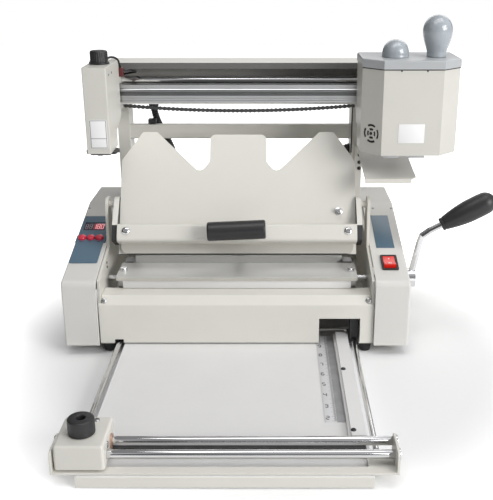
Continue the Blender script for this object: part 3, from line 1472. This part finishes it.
def mill_housing(carrier):
    """The milling head's folded case, open at its foot for the cutter and at its top for the knob."""
    left, right = MILL_LEFT_X, MILL_LEFT_X + MILL_WIDTH
    shell = slab(mill_profile(0, MILL_BOTTOM), "X", left, right)
    upright = along(2)
    soften(shell, lambda a, b: upright(a, b) and a.y < MILL_FRONT_Y + GAP, MILL_EDGE)
    case = hung("mill_housing", shell, CREAM, carrier)
    inside = slab(mill_profile(MILL_SHEET, MILL_BOTTOM - OVERRUN), "X", left + MILL_SHEET, right - MILL_SHEET)
    stem = rod(
        (MILL_X, MILL_KNOB_Y, MILL_TOP - OVERRUN),
        (MILL_X, MILL_KNOB_Y, MILL_TOP + OVERRUN),
        MILL_STEM_RADIUS + RUN,
    )
    cut(case, moved_to(carrier, inside))
    return cut(case, moved_to(carrier, stem))


def mill_motor(carrier):
    """The motor in the head. It is held between the case's two side walls."""
    top = MOTOR_BOTTOM + MOTOR_LENGTH
    profile = [
        (SPINDLE_RADIUS + RUN, 0),
        (MOTOR_RADIUS - MOTOR_EDGE, 0),
        (MOTOR_RADIUS, MOTOR_EDGE),
        (MOTOR_RADIUS, MOTOR_LENGTH - MOTOR_EDGE),
        (MOTOR_RADIUS - MOTOR_EDGE, MOTOR_LENGTH),
        (0, MOTOR_LENGTH),
        (0, MOTOR_LENGTH / 4),
        (SPINDLE_RADIUS + RUN, MOTOR_LENGTH / 4),
        (SPINDLE_RADIUS + RUN, 0),
    ]
    body = turned(profile, (MILL_X, SPINDLE_Y, MOTOR_BOTTOM))
    motor = hung("mill_motor", body, STEEL, carrier)
    half = MILL_WIDTH / 2 - MILL_SHEET - GAP
    low = (MILL_X - half, SPINDLE_Y - SPINDLE_RADIUS, top - MOTOR_LENGTH / 3)
    high = (MILL_X + half, SPINDLE_Y + SPINDLE_RADIUS, top - MOTOR_LENGTH / 6)
    return fuse(motor, moved_to(carrier, block(low, high)))


def mill_cutter(carrier):
    """The face cutter under the head, in one piece with its spindle."""
    ring = toothed(CUTTER_TEETH, CUTTER_RADIUS - CUTTER_TOOTH, CUTTER_RADIUS, 0.8, 0.45)
    disc = slab(ring, "Z", CUTTER_TOP - CUTTER_THICKNESS, CUTTER_TOP)
    disc = turned_by(disc, Matrix.Translation((0, 0, -carrier.location.z)))
    cutter = piece("mill_cutter", disc, STEEL, carrier)
    spindle_top = MOTOR_BOTTOM + MOTOR_LENGTH / 4 - GAP
    start = CUTTER_TOP - CUTTER_THICKNESS / 2
    stem = rod((0, 0, start - carrier.location.z), (0, 0, spindle_top - carrier.location.z), SPINDLE_RADIUS)
    return fuse(cutter, stem)


def mill_knob(carrier):
    """The depth knob on the head, with the collar under it and its stem down to the motor."""
    stem_foot = MOTOR_BOTTOM + MOTOR_LENGTH + GAP
    seat = MILL_TOP + GAP
    knob_foot = seat + MILL_COLLAR_HEIGHT
    knob_top = knob_foot + MILL_KNOB_HEIGHT
    edge = KNOB_EDGE / 2
    profile = [
        (0, stem_foot),
        (MILL_STEM_RADIUS, stem_foot),
        (MILL_STEM_RADIUS, seat),
        (MILL_COLLAR_RADIUS, seat),
        (MILL_COLLAR_RADIUS, knob_foot),
        (MILL_KNOB_RADIUS, knob_foot),
        (MILL_KNOB_RADIUS, knob_top - edge),
        (MILL_KNOB_RADIUS - edge, knob_top),
        (0, knob_top),
    ]
    level = [(radius, height - carrier.location.z) for radius, height in profile]
    return piece("mill_knob", turned(level), BLACK, carrier)


def hook_outline(front):
    """A carriage from the side: a plate before the rail, an arm over it and a block round the guide rod."""
    plate_back = RAIL_FRONT_Y - RUN
    return [
        (front, CARRIAGE_PLATE_BOTTOM),
        (plate_back, CARRIAGE_PLATE_BOTTOM),
        (plate_back, RAIL_TOP + RUN),
        (RAIL_BACK_Y + RUN, RAIL_TOP + RUN),
        (RAIL_BACK_Y + RUN, CARRIAGE_HOOK_BOTTOM),
        (CARRIAGE_BACK_Y, CARRIAGE_HOOK_BOTTOM),
        (CARRIAGE_BACK_Y, CARRIAGE_ARM_TOP),
        (BEAM_FRONT_Y - GAP, CARRIAGE_ARM_TOP),
        (BEAM_FRONT_Y - RUN - GAP, CARRIAGE_ARM_TOP),
        (plate_back, CARRIAGE_PLATE_TOP),
        (front, CARRIAGE_PLATE_TOP),
    ]


def head_carriage(name, carrier, front, left, width):
    hook = slab(hook_outline(front), "X", left, left + width)
    carriage = hung(name, hook, ALUMINIUM, carrier)
    bore = rod(
        (left - OVERRUN, GUIDE_Y, GUIDE_Z),
        (left + width + OVERRUN, GUIDE_Y, GUIDE_Z),
        GUIDE_RADIUS + RUN,
        FINE,
    )
    return cut(carriage, moved_to(carrier, bore))


# Glue head


def glue_outline(inset, back):
    """The glue head from above: a flat front between two slanted corners."""
    left, right = GLUE_LEFT_X + inset, GLUE_RIGHT_X - inset
    front = GLUE_FRONT_Y + inset
    cut_in = GLUE_CHAMFER - inset * (2 - math.sqrt(2))
    return [
        (left, back),
        (left, front + cut_in),
        (left + cut_in, front),
        (right - cut_in, front),
        (right, front + cut_in),
        (right, back),
    ]


def vent_frame():
    """The middle of the left slanted corner, with +Z facing out of it."""
    middle = (GLUE_LEFT_X + GLUE_CHAMFER / 2, GLUE_FRONT_Y + GLUE_CHAMFER / 2, VENT_Z)
    return Matrix.Translation(middle) @ facing((-1, -1, 0))


def arc_slot(inner, outer, start, end, low, high):
    points = []
    for radius, angles in ((outer, np.linspace(start, end, 5)), (inner, np.linspace(end, start, 5))):
        points += [(radius * math.cos(a), radius * math.sin(a)) for a in angles]
    return slab(points, "Z", low, high)


def vent_slots():
    slots = []
    for ring in range(VENT_RINGS):
        inner = VENT_HUB_RADIUS + VENT_RIB / 2 + ring * (VENT_SLOT + VENT_RIB)
        for k in range(VENT_ARCS):
            start = math.radians(k * 360 / VENT_ARCS + VENT_BRIDGE / 2)
            end = math.radians((k + 1) * 360 / VENT_ARCS - VENT_BRIDGE / 2)
            slots.append(arc_slot(inner, inner + VENT_SLOT, start, end, -GLUE_SHEET - GAP, OVERRUN))
    return [turned_by(slot, vent_frame()) for slot in slots]


def glue_housing(carrier):
    """The glue head's case, open below for the tank, with a round vent in its left corner."""
    block_of_it = slab(glue_outline(0, GLUE_CHIN_Y), "Z", GLUE_BOTTOM, GLUE_TOP)
    case = hung("glue_housing", block_of_it, CREAM, carrier)
    left, right = GLUE_LEFT_X, GLUE_RIGHT_X
    overlap = GLUE_CHIN_Y - GLUE_SHEET / 2
    nape = block((left, overlap, GLUE_NAPE_Z), (right, GLUE_BACK_Y, GLUE_TOP))
    fuse(case, moved_to(carrier, nape))
    inner = glue_outline(GLUE_SHEET, GLUE_CHIN_Y - GLUE_SHEET)
    low, high = GLUE_BOTTOM - OVERRUN, GLUE_TOP + OVERRUN
    cut(case, moved_to(carrier, slab(inner, "Z", low, high)))
    room = block(
        (left + GLUE_SHEET, overlap - GLUE_SHEET, GLUE_NAPE_Z + GLUE_SHEET),
        (right - GLUE_SHEET, GLUE_BACK_Y - GLUE_SHEET, high),
    )
    cut(case, moved_to(carrier, room))
    cut(case, *[moved_to(carrier, slot) for slot in vent_slots()])
    shaft = rod(
        (ROLLER_X, GLUE_CHIN_Y - GLUE_SHEET - OVERRUN, ROLLER_Z),
        (ROLLER_X, GLUE_CHIN_Y + OVERRUN, ROLLER_Z),
        ROLLER_SHAFT_RADIUS + RUN,
    )
    return cut(case, moved_to(carrier, shaft))


def glue_cap(carrier):
    low, high = GLUE_TOP + GAP, GLUE_TOP + CAP_HEIGHT
    cap = slab(glue_outline(-CAP_OVERHANG, GLUE_BACK_Y + CAP_OVERHANG), "Z", low, high)
    soften(cap, both_at(2, high), CAP_EDGE)
    made = hung("glue_cap", cap, PALE_GREY, carrier)
    hole = rod((FILLER_X, FILLER_Y, low - OVERRUN), (FILLER_X, FILLER_Y, high + OVERRUN), FILLER_RADIUS, FINE)
    return cut(made, moved_to(carrier, hole))


def egg_handle(carrier):
    """The egg-shaped handle that the operator pushes the glue head by."""
    waist = EGG_NECK_Z * 1.6
    profile = [(0, 0), (EGG_FOOT_RADIUS, 0)]
    profile += [(EGG_FOOT_RADIUS * 0.98, EGG_NECK_Z / 4), (EGG_NECK_RADIUS, waist)]
    middle = EGG_HEIGHT * 0.63
    for k in range(1, EGG_STEPS + 1):
        angle = math.pi * (k / EGG_STEPS * 0.78 + 0.22)
        reach = EGG_HEIGHT - middle if angle > math.pi / 2 else middle - waist * 0.6
        profile.append((EGG_RADIUS * math.sin(angle), middle - reach * math.cos(angle)))
    profile[-1] = (0, EGG_HEIGHT)
    foot = (EGG_X, FILLER_Y, GLUE_TOP + CAP_HEIGHT + GAP)
    return hung("egg_handle", turned(profile, foot, (0, 0, 1), FINE), PALE_GREY, carrier)


def glue_tank(carrier):
    """The heated trough. Its floor is slotted for the roller, whose shaft runs in its end walls."""
    left, right = TANK_LEFT_X, TANK_LEFT_X + TANK_WIDTH
    top = TANK_BOTTOM + TANK_HEIGHT
    body = block((left, TANK_FRONT_Y, TANK_BOTTOM), (right, TANK_BACK_Y, top))
    tank = hung("glue_tank", body, ALUMINIUM, carrier)
    wall = TANK_WALL
    room = block(
        (left + wall, TANK_FRONT_Y + wall, TANK_BOTTOM + wall),
        (right - wall, TANK_BACK_Y - wall, top + OVERRUN),
    )
    half = ROLLER_RADIUS + RUN
    slot = block(
        (ROLLER_X - half, TANK_FRONT_Y + wall, TANK_BOTTOM - OVERRUN),
        (ROLLER_X + half, TANK_BACK_Y - wall, TANK_BOTTOM + wall + OVERRUN),
    )
    shaft = rod(
        (ROLLER_X, TANK_FRONT_Y - OVERRUN, ROLLER_Z),
        (ROLLER_X, TANK_BACK_Y + OVERRUN, ROLLER_Z),
        ROLLER_SHAFT_RADIUS + RUN,
    )
    cut(tank, moved_to(carrier, room))
    cut(tank, moved_to(carrier, slot))
    return cut(tank, moved_to(carrier, shaft))


def glue_roller(carrier):
    """The fluted roller that lays glue on the spine, with its shaft."""
    start = TANK_FRONT_Y + TANK_WALL + ROLLER_END_GAP - carrier.location.y
    end = TANK_BACK_Y - TANK_WALL - ROLLER_END_GAP - carrier.location.y
    ring = toothed(ROLLER_FLUTES, ROLLER_RADIUS - ROLLER_FLUTE, ROLLER_RADIUS, 0.95, 0.6)
    roller = piece("glue_roller", slab(ring, "Y", start, end), STEEL, carrier)
    shaft_start = TANK_FRONT_Y + RUN - carrier.location.y
    shaft_end = GLUE_CHIN_Y + ROLLER_SHAFT_RADIUS / 2 - carrier.location.y
    return fuse(roller, rod((0, shaft_start, 0), (0, shaft_end, 0), ROLLER_SHAFT_RADIUS))


def filler_lid(carrier):
    """The lid of the filler hole: a plug, a flange and a ball to lift it by."""
    seat = GLUE_TOP + CAP_HEIGHT + GAP
    centre = BALL_TOP - BALL_RADIUS
    flange_top = seat + LID_FLANGE
    profile = [
        (0, seat - LID_PLUG),
        (FILLER_RADIUS - RUN, seat - LID_PLUG),
        (FILLER_RADIUS - RUN, seat),
        (LID_RADIUS, seat),
        (LID_RADIUS, flange_top),
    ]
    first = math.acos((centre - flange_top) / BALL_RADIUS)
    for k in range(BALL_STEPS + 1):
        angle = first + (math.pi - first) * k / BALL_STEPS
        profile.append((BALL_RADIUS * math.sin(angle), centre - BALL_RADIUS * math.cos(angle)))
    profile[-1] = (0, BALL_TOP)
    level = [(radius, height - carrier.location.z) for radius, height in profile]
    return piece("filler_lid", turned(level, sides=FINE), PALE_GREY, carrier)


def glue_carriage(carrier):
    """The glue head's carriage, with the leg that carries the chain sprocket."""
    front = GLUE_BACK_Y + GAP
    made = head_carriage("glue_carriage", carrier, front, GLUE_CARRIAGE_LEFT_X, GLUE_CARRIAGE_WIDTH)
    half = SPROCKET_BRACKET_HALF
    low = (SPROCKET_X - half, front, SPROCKET_Z - SPROCKET_BRACKET_DROP)
    high = (SPROCKET_X + half, RAIL_FRONT_Y - RUN, CARRIAGE_PLATE_BOTTOM + OVERRUN)
    fuse(made, moved_to(carrier, block(low, high)))
    bore = rod(
        (SPROCKET_X, front - OVERRUN, SPROCKET_Z),
        (SPROCKET_X, RAIL_FRONT_Y + OVERRUN, SPROCKET_Z),
        SPROCKET_AXLE_RADIUS + RUN,
    )
    return cut(made, moved_to(carrier, bore))


def chain_sprocket(carrier):
    """The sprocket that the chain turns as the glue head travels, with its axle."""
    y = CHAIN_Y - carrier.location.y
    root, tip = SPROCKET_RADIUS - CHAIN_ROLLER_RADIUS, SPROCKET_RADIUS + SPROCKET_TIP
    ring = toothed(SPROCKET_TEETH, root, tip, 0.62, 0.2)
    disc = slab(ring, "Y", y - SPROCKET_THICKNESS / 2, y + SPROCKET_THICKNESS / 2)
    wheel = piece("chain_sprocket", disc, STEEL, carrier)
    start = GLUE_BACK_Y + GAP + RUN - carrier.location.y
    end = y + SPROCKET_THICKNESS
    return fuse(wheel, rod((0, start, 0), (0, end, 0), SPROCKET_AXLE_RADIUS))


# Controls, drawn in the slanted frame: x across, y up the slope, z out of the face


def slanted(shape):
    """Takes a shape from the slanted frame to the machine's frame."""
    frame = Matrix.Translation((0, 0, COVER_FRONT_TOP)) @ Matrix.Rotation(COVER_SLOPE, 4, "X")
    return turned_by(shape, frame)


def carrier_box(grow, low, high):
    """The box under the control plate that holds the three buttons."""
    half = BUTTON_PITCH + BUTTON_RADIUS + CARRIER_MARGIN + grow
    reach = BUTTON_RADIUS + CARRIER_MARGIN + grow
    return block((-CONSOLE_X - half, BUTTON_S - reach, low), (-CONSOLE_X + half, BUTTON_S + reach, high))


def control_panel(carrier):
    """The blue plate on the left cover, with the button box behind it and the display's recess."""
    x, half = -CONSOLE_X, PLATE_WIDTH / 2
    outline = rounded(rectangle(x - half, PLATE_START, x + half, PLATE_END), PLATE_ROUND, 2)
    top = GAP + PLATE_THICKNESS
    plate = piece("control_panel", slab(outline, "Z", GAP, top), BLUE, carrier)
    fuse(plate, carrier_box(0, -CARRIER_DEPTH, top - PLATE_THICKNESS / 2))
    pockets = []
    for k in (-1, 0, 1):
        place = (x + k * BUTTON_PITCH, BUTTON_S)
        floor = -BUTTON_DEPTH - BUTTON_TRAVEL - GAP
        pockets.append(rod((*place, floor), (*place, top + OVERRUN), BUTTON_RADIUS + RUN))
    cut(plate, *pockets)
    wide = DISPLAY_WIDTH / 2
    recess = block((x - wide, DISPLAY_START, top - DISPLAY_DEPTH), (x + wide, DISPLAY_END, top + OVERRUN))
    return cut(plate, recess)


def button(name, carrier):
    """A round push button, drawn on its own axis."""
    rise = GAP + PLATE_THICKNESS + BUTTON_RISE
    profile = [
        (0, -BUTTON_DEPTH),
        (BUTTON_RADIUS, -BUTTON_DEPTH),
        (BUTTON_RADIUS, rise - BUTTON_EDGE),
        (BUTTON_RADIUS - BUTTON_EDGE, rise),
        (0, rise),
    ]
    return piece(name, turned(profile), RED, carrier)


def switch_bezel(carrier):
    """The black frame of the power switch, with its body through the cover."""
    half, reach = SWITCH_WIDTH / 2, SWITCH_LENGTH / 2
    flat = rectangle(SWITCH_X - half, SWITCH_S - reach, SWITCH_X + half, SWITCH_S + reach)
    outline = rounded(flat, PLATE_ROUND, 2)
    bezel = piece("switch_bezel", slab(outline, "Z", GAP, GAP + SWITCH_RIM_HEIGHT), BLACK, carrier)
    rim = SWITCH_RIM / 2
    body = block(
        (SWITCH_X - half + rim, SWITCH_S - reach + rim, -SWITCH_BODY_DEPTH),
        (SWITCH_X + half - rim, SWITCH_S + reach - rim, GAP + SWITCH_RIM_HEIGHT / 2),
    )
    fuse(bezel, body)
    rim = SWITCH_RIM
    floor = rim / 2 - SWITCH_BODY_DEPTH
    well = block(
        (SWITCH_X - half + rim, SWITCH_S - reach + rim - GAP, floor),
        (SWITCH_X + half - rim, SWITCH_S + reach - rim + GAP, OVERRUN),
    )
    cut(bezel, well)
    pin = (SWITCH_X - half + rim / 2, SWITCH_X + half - rim / 2)
    hole = rod(
        (pin[0] - RUN, SWITCH_S, -ROCKER_PIVOT_DEPTH),
        (pin[1] + RUN, SWITCH_S, -ROCKER_PIVOT_DEPTH),
        ROCKER_PIN_RADIUS + RUN,
        COARSE,
    )
    return cut(bezel, hole)


def rocker(carrier):
    """The red rocker on its pivot: a shallow dish on top, and a keel below. It rests tilted."""
    tip = Vector((ROCKER_HALF_LENGTH, ROCKER_HEIGHT))
    keel = ROCKER_PIVOT_DEPTH * 0.8
    outline = [
        (-tip.x, tip.y),
        (0, tip.y - ROCKER_DIP),
        (tip.x, tip.y),
        (tip.x * 0.96, tip.y * 0.4),
        (keel, -keel),
        (-keel, -keel),
        (-tip.x * 0.96, tip.y * 0.4),
    ]
    half = SWITCH_WIDTH / 2 - SWITCH_RIM - RUN
    turn = Matrix.Rotation(math.radians(-ROCKER_TILT), 4, "X")
    made = piece("rocker", turned_by(slab(outline, "X", -half, half), turn), RED, carrier)
    reach = SWITCH_WIDTH / 2 - SWITCH_RIM / 2 - RUN
    return fuse(made, rod((-reach, 0, 0), (reach, 0, 0), ROCKER_PIN_RADIUS, COARSE))


def open_left_cover(cover):
    return cut(cover, slanted(carrier_box(RUN, -CARRIER_DEPTH - OVERRUN, OVERRUN)))


def open_right_cover(cover):
    half = SWITCH_WIDTH / 2 - SWITCH_RIM / 2 + GAP
    reach = SWITCH_LENGTH / 2 - SWITCH_RIM / 2 + GAP
    low = (SWITCH_X - half, SWITCH_S - reach, -SWITCH_BODY_DEPTH - OVERRUN)
    high = (SWITCH_X + half, SWITCH_S + reach, OVERRUN)
    shaft = rod(
        (COVER_OUTER_X - OVERRUN - COVER_SHEET, SHAFT_Y, SHAFT_Z),
        (COVER_OUTER_X + OVERRUN, SHAFT_Y, SHAFT_Z),
        SHAFT_RADIUS + RUN,
    )
    cut(cover, slanted(block(low, high)))
    return cut(cover, shaft)


# Creasing table


def crease_table(carrier):
    """The sliding table: a thin tray with its edges turned down."""
    half, wall = TABLE_HALF_WIDTH, TABLE_SHEET
    tray = block((-half, TABLE_FRONT_Y, TABLE_LIP_BOTTOM), (half, TABLE_BACK_Y, TABLE_TOP))
    soften(tray, both_at(2, TABLE_TOP), TABLE_ROUND)
    table = hung("crease_table", tray, CREAM, carrier)
    room = block(
        (-half + wall, TABLE_FRONT_Y + wall, TABLE_LIP_BOTTOM - OVERRUN),
        (half - wall, TABLE_BACK_Y - wall, TABLE_TOP - wall),
    )
    return cut(table, moved_to(carrier, room))


def drawer_frame(carrier):
    """The rods beside the table that slide in the hangers, tied together behind the table."""
    start, back = BRACKET_BACK_Y + GAP, TABLE_ROD_BACK_Y
    x, z = TABLE_ROD_X, TABLE_ROD_Z
    rods = [rod((side * x, start, z), (side * x, back, z), TABLE_ROD_RADIUS) for side in (-1, 1)]
    frame = hung("drawer_frame", rods[0], CHROME, carrier)
    tie_y = back - 2 * TABLE_ROD_RADIUS
    tie = rod((-x, tie_y, z), (x, tie_y, z), TABLE_ROD_RADIUS * 0.9)
    return fuse(frame, moved_to(carrier, tie), moved_to(carrier, rods[1]))


def end_bracket(carrier):
    """The folded bracket across the table's front, whose upturned ends hold the two cross bars."""
    half, sheet = BRACKET_HALF_WIDTH, BRACKET_SHEET
    floor = TABLE_TOP + GAP
    front, back = BRACKET_FRONT_Y, BRACKET_BACK_Y
    outline = rounded(rectangle(front, floor, back, BRACKET_TOP), [0, 0, BRACKET_ROUND, BRACKET_ROUND])
    ends = [slab(outline, "X", side * half, side * (half - sheet)) for side in (-1, 1)]
    bracket = hung("end_bracket", ends[0], CREAM, carrier)
    strap = block((-half + sheet / 2, front, floor), (half - sheet / 2, front + BRACKET_STRAP, floor + sheet))
    feet = [
        block(
            (side * (half - sheet / 2), front, floor),
            (side * (TABLE_ROD_X - BRACKET_STRAP), back, floor + sheet),
        )
        for side in (-1, 1)
    ]
    fuse(bracket, moved_to(carrier, strap))
    fuse(bracket, moved_to(carrier, ends[1]))
    fuse(bracket, *[moved_to(carrier, foot) for foot in feet])
    cutters = []
    for y, z in ((REAR_BAR_Y, REAR_BAR_Z), (FRONT_BAR_Y, FRONT_BAR_Z)):
        reach = half + OVERRUN
        cutters.append(rod((-reach, y, z), (reach, y, z), CROSS_BAR_RADIUS * 0.6 + GAP, COARSE))
    return cut(bracket, *[moved_to(carrier, cutter) for cutter in cutters])


def cross_bar(name, y, z, carrier):
    """A bar that the creasing carriage slides on, necked down where its ends pass the bracket."""
    face = BRACKET_HALF_WIDTH - BRACKET_SHEET - GAP
    outside = BRACKET_HALF_WIDTH + GAP
    neck = CROSS_BAR_RADIUS * 0.6
    profile = [
        (0, -outside - CROSS_BAR_HEAD),
        (CROSS_BAR_HEAD_RADIUS * 0.7, -outside - CROSS_BAR_HEAD),
        (CROSS_BAR_HEAD_RADIUS, -outside - CROSS_BAR_HEAD * 0.4),
        (CROSS_BAR_HEAD_RADIUS, -outside),
        (neck, -outside),
        (neck, -face),
        (CROSS_BAR_RADIUS, -face),
    ]
    whole = profile + [(radius, -height) for radius, height in reversed(profile)]
    return hung(name, turned(whole, (0, y, z), (1, 0, 0), MEDIUM), CHROME, carrier)


def crease_strip(carrier):
    """The black strip that the creasing wheel presses the cover into, with its groove."""
    half = TABLE_HALF_WIDTH - STRIP_MARGIN
    floor = TABLE_TOP + GAP
    middle = WHEEL_Y
    groove = STRIP_GROOVE
    outline = [
        (STRIP_FRONT_Y, floor),
        (STRIP_FRONT_Y + STRIP_WIDTH, floor),
        (STRIP_FRONT_Y + STRIP_WIDTH, STRIP_TOP),
        (middle + groove, STRIP_TOP),
        (middle, STRIP_TOP - groove),
        (middle - groove, STRIP_TOP),
        (STRIP_FRONT_Y, STRIP_TOP),
    ]
    right = FENCE_LEFT_X + FENCE_WIDTH
    return hung("crease_strip", slab(outline, "X", -half, min(half, right)), RUBBER, carrier)


def paper_fence(carrier):
    """The stepped bar that the cover's edge is laid against."""
    floor = TABLE_TOP + GAP
    top = TABLE_TOP + FENCE_HEIGHT
    left, right = FENCE_LEFT_X, FENCE_LEFT_X + FENCE_WIDTH
    outline = [
        (left, floor),
        (right, floor),
        (right, top),
        (left + FENCE_STEP, top),
        (left + FENCE_STEP, top - FENCE_STEP),
        (left, top - FENCE_STEP),
    ]
    return hung("paper_fence", slab(outline, "Y", FENCE_FRONT_Y, TABLE_BACK_Y - TABLE_SHEET), CREAM, carrier)


# Creasing carriage


def carriage_block(carrier):
    """The block that slides on the cross bars and holds the creasing wheel in a pocket."""
    low = (BLOCK_LEFT_X, BLOCK_FRONT_Y, BLOCK_BOTTOM)
    high = (BLOCK_LEFT_X + BLOCK_WIDTH, BLOCK_BACK_Y, BLOCK_TOP)
    body = block(low, high)
    soften(body, lambda a, b: max(a.z, b.z) > BLOCK_BOTTOM + GAP, BLOCK_ROUND, 3)
    made = hung("carriage_block", body, CREAM, carrier)
    start, end = low[0] - OVERRUN, high[0] + OVERRUN
    bores = [
        rod((start, y, z), (end, y, z), CROSS_BAR_RADIUS + RUN)
        for y, z in ((REAR_BAR_Y, REAR_BAR_Z), (FRONT_BAR_Y, FRONT_BAR_Z))
    ]
    half = WHEEL_RADIUS + RUN
    thick = WHEEL_THICKNESS / 2 + RUN
    pocket = block(
        (WHEEL_X - half, WHEEL_Y - thick, BLOCK_BOTTOM - OVERRUN),
        (WHEEL_X + half, WHEEL_Y + thick, WHEEL_Z + half),
    )
    axle = rod(
        (WHEEL_X, WHEEL_Y, WHEEL_Z),
        (WHEEL_X, WHEEL_Y + WHEEL_AXLE + RUN, WHEEL_Z),
        WHEEL_AXLE_RADIUS + RUN,
        COARSE,
    )
    low, high = BLOCK_TOP - KNOB_STEM - GAP, BLOCK_TOP + OVERRUN
    stem = rod((KNOB_X, KNOB_Y, low), (KNOB_X, KNOB_Y, high), KNOB_STEM_RADIUS + RUN)
    for cutter in (*bores, pocket, axle, stem):
        cut(made, moved_to(carrier, cutter))
    return made


def crease_wheel(carrier):
    """The creasing wheel with its short axle, drawn on its own axis."""
    half = WHEEL_THICKNESS / 2
    profile = [
        (0, -half),
        (WHEEL_RADIUS * 0.93, -half),
        (WHEEL_RADIUS, -half * 0.3),
        (WHEEL_RADIUS, half * 0.3),
        (WHEEL_RADIUS * 0.93, half),
        (WHEEL_AXLE_RADIUS, half),
        (WHEEL_AXLE_RADIUS, WHEEL_AXLE),
        (0, WHEEL_AXLE),
    ]
    return piece("crease_wheel", turned(profile, (0, 0, 0), (0, 1, 0)), STEEL, carrier)


def carriage_knob(carrier):
    """The knurled knob on the block, with the hole in its top."""
    seat = BLOCK_TOP + GAP
    foot = seat - carrier.location.z
    top = foot + KNOB_HEIGHT
    floor = top - KNOB_HOLE_DEPTH
    stem_foot = foot - KNOB_STEM
    profile = [
        (0, stem_foot),
        (KNOB_STEM_RADIUS, stem_foot),
        (KNOB_STEM_RADIUS, foot),
        (KNOB_RADIUS, foot),
        (KNOB_RADIUS, top - KNOB_EDGE),
        (KNOB_RADIUS - KNOB_EDGE, top),
        (KNOB_HOLE_RADIUS, top),
        (KNOB_HOLE_RADIUS, floor),
        (0, floor),
    ]
    return piece("carriage_knob", turned(profile, sides=KNURLS), BLACK, carrier)


# The whole machine


def build_body():
    side_plate("left_side_plate", -1)
    side_plate("right_side_plate", 1)
    open_left_cover(side_cover("left_cover", -1))
    open_right_cover(side_cover("right_cover", 1))
    for end, y in (("front", FOOT_FRONT_Y), ("rear", FOOT_REAR_Y)):
        rubber_foot(f"foot_{end}_left", -1, y)
        rubber_foot(f"foot_{end}_right", 1, y)
    front_panel()
    base_plate()
    rear_housing()
    mains_inlet()
    column_frame()
    beam()
    guide_rod()
    lower_rail()
    head_chain()
    cable_conduit()
    drip_tray()


def build_nip(machine):
    front_nip_plate()
    nip_supports()
    rear_nip_bar(empty("nip_bar_slide", (0, BAR_FRONT_Y, BAR_TOP), parent=machine))
    shaft = empty("press_shaft_axis", (0, SHAFT_Y, SHAFT_Z), parent=machine)
    press_lever(shaft)
    lever_grip(shaft)


def build_clamp(machine):
    axis = empty("clamp_axis", (0, CLAMP_Y, CLAMP_Z), math.radians(-CLAMP_LEAN), machine)
    page_rest(axis)
    rear_jaw(axis)
    clamp_end_plate("left_end_plate", -1, axis)
    clamp_end_plate("right_end_plate", 1, axis)
    front_jaw(empty("front_jaw_slide", parent=axis))
    screw = empty("clamp_screw_axis", (0, 0, SCREW_Z), parent=axis)
    clamp_screw(screw)
    tee_handle(screw)


def build_mill_head(machine):
    head = empty("mill_head_slide", (MILL_X, GUIDE_Y, GUIDE_Z), parent=machine)
    mill_housing(head)
    mill_motor(head)
    head_carriage("mill_carriage", head, MILL_BACK_Y + GAP, MILL_CARRIAGE_LEFT_X, MILL_CARRIAGE_WIDTH)
    mill_cutter(empty("cutter_axis", (MILL_X, SPINDLE_Y, CUTTER_TOP), parent=machine))
    mill_knob(empty("mill_knob_axis", (MILL_X, MILL_KNOB_Y, MILL_TOP), parent=machine))


def build_glue_head(machine):
    head = empty("glue_head_slide", (ROLLER_X, GUIDE_Y, GUIDE_Z), parent=machine)
    glue_housing(head)
    glue_cap(head)
    egg_handle(head)
    glue_tank(head)
    glue_carriage(head)
    glue_roller(empty("roller_axis", (ROLLER_X, FILLER_Y, ROLLER_Z), parent=machine))
    filler_lid(empty("lid_lift", (FILLER_X, FILLER_Y, GLUE_TOP + CAP_HEIGHT), parent=machine))
    chain_sprocket(empty("sprocket_axis", (SPROCKET_X, RAIL_FRONT_Y, SPROCKET_Z), parent=machine))


def build_controls(machine):
    face = empty("slanted_face", (0, 0, COVER_FRONT_TOP), COVER_SLOPE, machine)
    control_panel(face)
    switch_bezel(face)
    for k, name in ((-1, "button_left"), (0, "button_middle"), (1, "button_right")):
        button(name, empty(name + "_axis", (-CONSOLE_X + k * BUTTON_PITCH, BUTTON_S, 0), parent=face))
    rocker(empty("rocker_pivot", (SWITCH_X, SWITCH_S, -ROCKER_PIVOT_DEPTH), parent=face))


def build_crease_table(machine):
    table = empty("crease_table_slide", (0, TABLE_FRONT_Y, TABLE_TOP), parent=machine)
    crease_table(table)
    drawer_frame(table)
    end_bracket(table)
    cross_bar("rear_cross_bar", REAR_BAR_Y, REAR_BAR_Z, table)
    cross_bar("front_cross_bar", FRONT_BAR_Y, FRONT_BAR_Z, table)
    crease_strip(table)
    paper_fence(table)
    carriage = empty("crease_carriage_slide", (KNOB_X, REAR_BAR_Y, REAR_BAR_Z), parent=machine)
    carriage_block(carriage)
    crease_wheel(empty("crease_wheel_axis", (WHEEL_X, WHEEL_Y, WHEEL_Z), parent=machine))
    carriage_knob(empty("carriage_knob_axis", (KNOB_X, KNOB_Y, BLOCK_TOP), parent=machine))


def stand_on_origin(machine):
    """Puts the origin on the ground under the middle of the whole machine's footprint."""
    graph = bpy.context.evaluated_depsgraph_get()
    low, high = Vector((math.inf,) * 3), Vector((-math.inf,) * 3)
    for thing in bpy.context.scene.objects:
        if thing.type != "MESH" or thing.hide_render:
            continue
        for corner in thing.evaluated_get(graph).bound_box:
            place = thing.matrix_world @ Vector(corner)
            low = Vector(map(min, low, place))
            high = Vector(map(max, high, place))
    middle = (low + high) / 2
    machine.location = (-middle.x, -middle.y, 0)
    print("origin moved by", [round(v / mm, 3) for v in machine.location], "mm")


def main():
    for thing in list(bpy.data.objects):
        bpy.data.objects.remove(thing)
    machine = empty("machine")
    build_body()
    build_nip(machine)
    build_clamp(machine)
    build_mill_head(machine)
    build_glue_head(machine)
    build_controls(machine)
    build_crease_table(machine)
    bpy.context.view_layer.update()
    stand_on_origin(machine)


main()
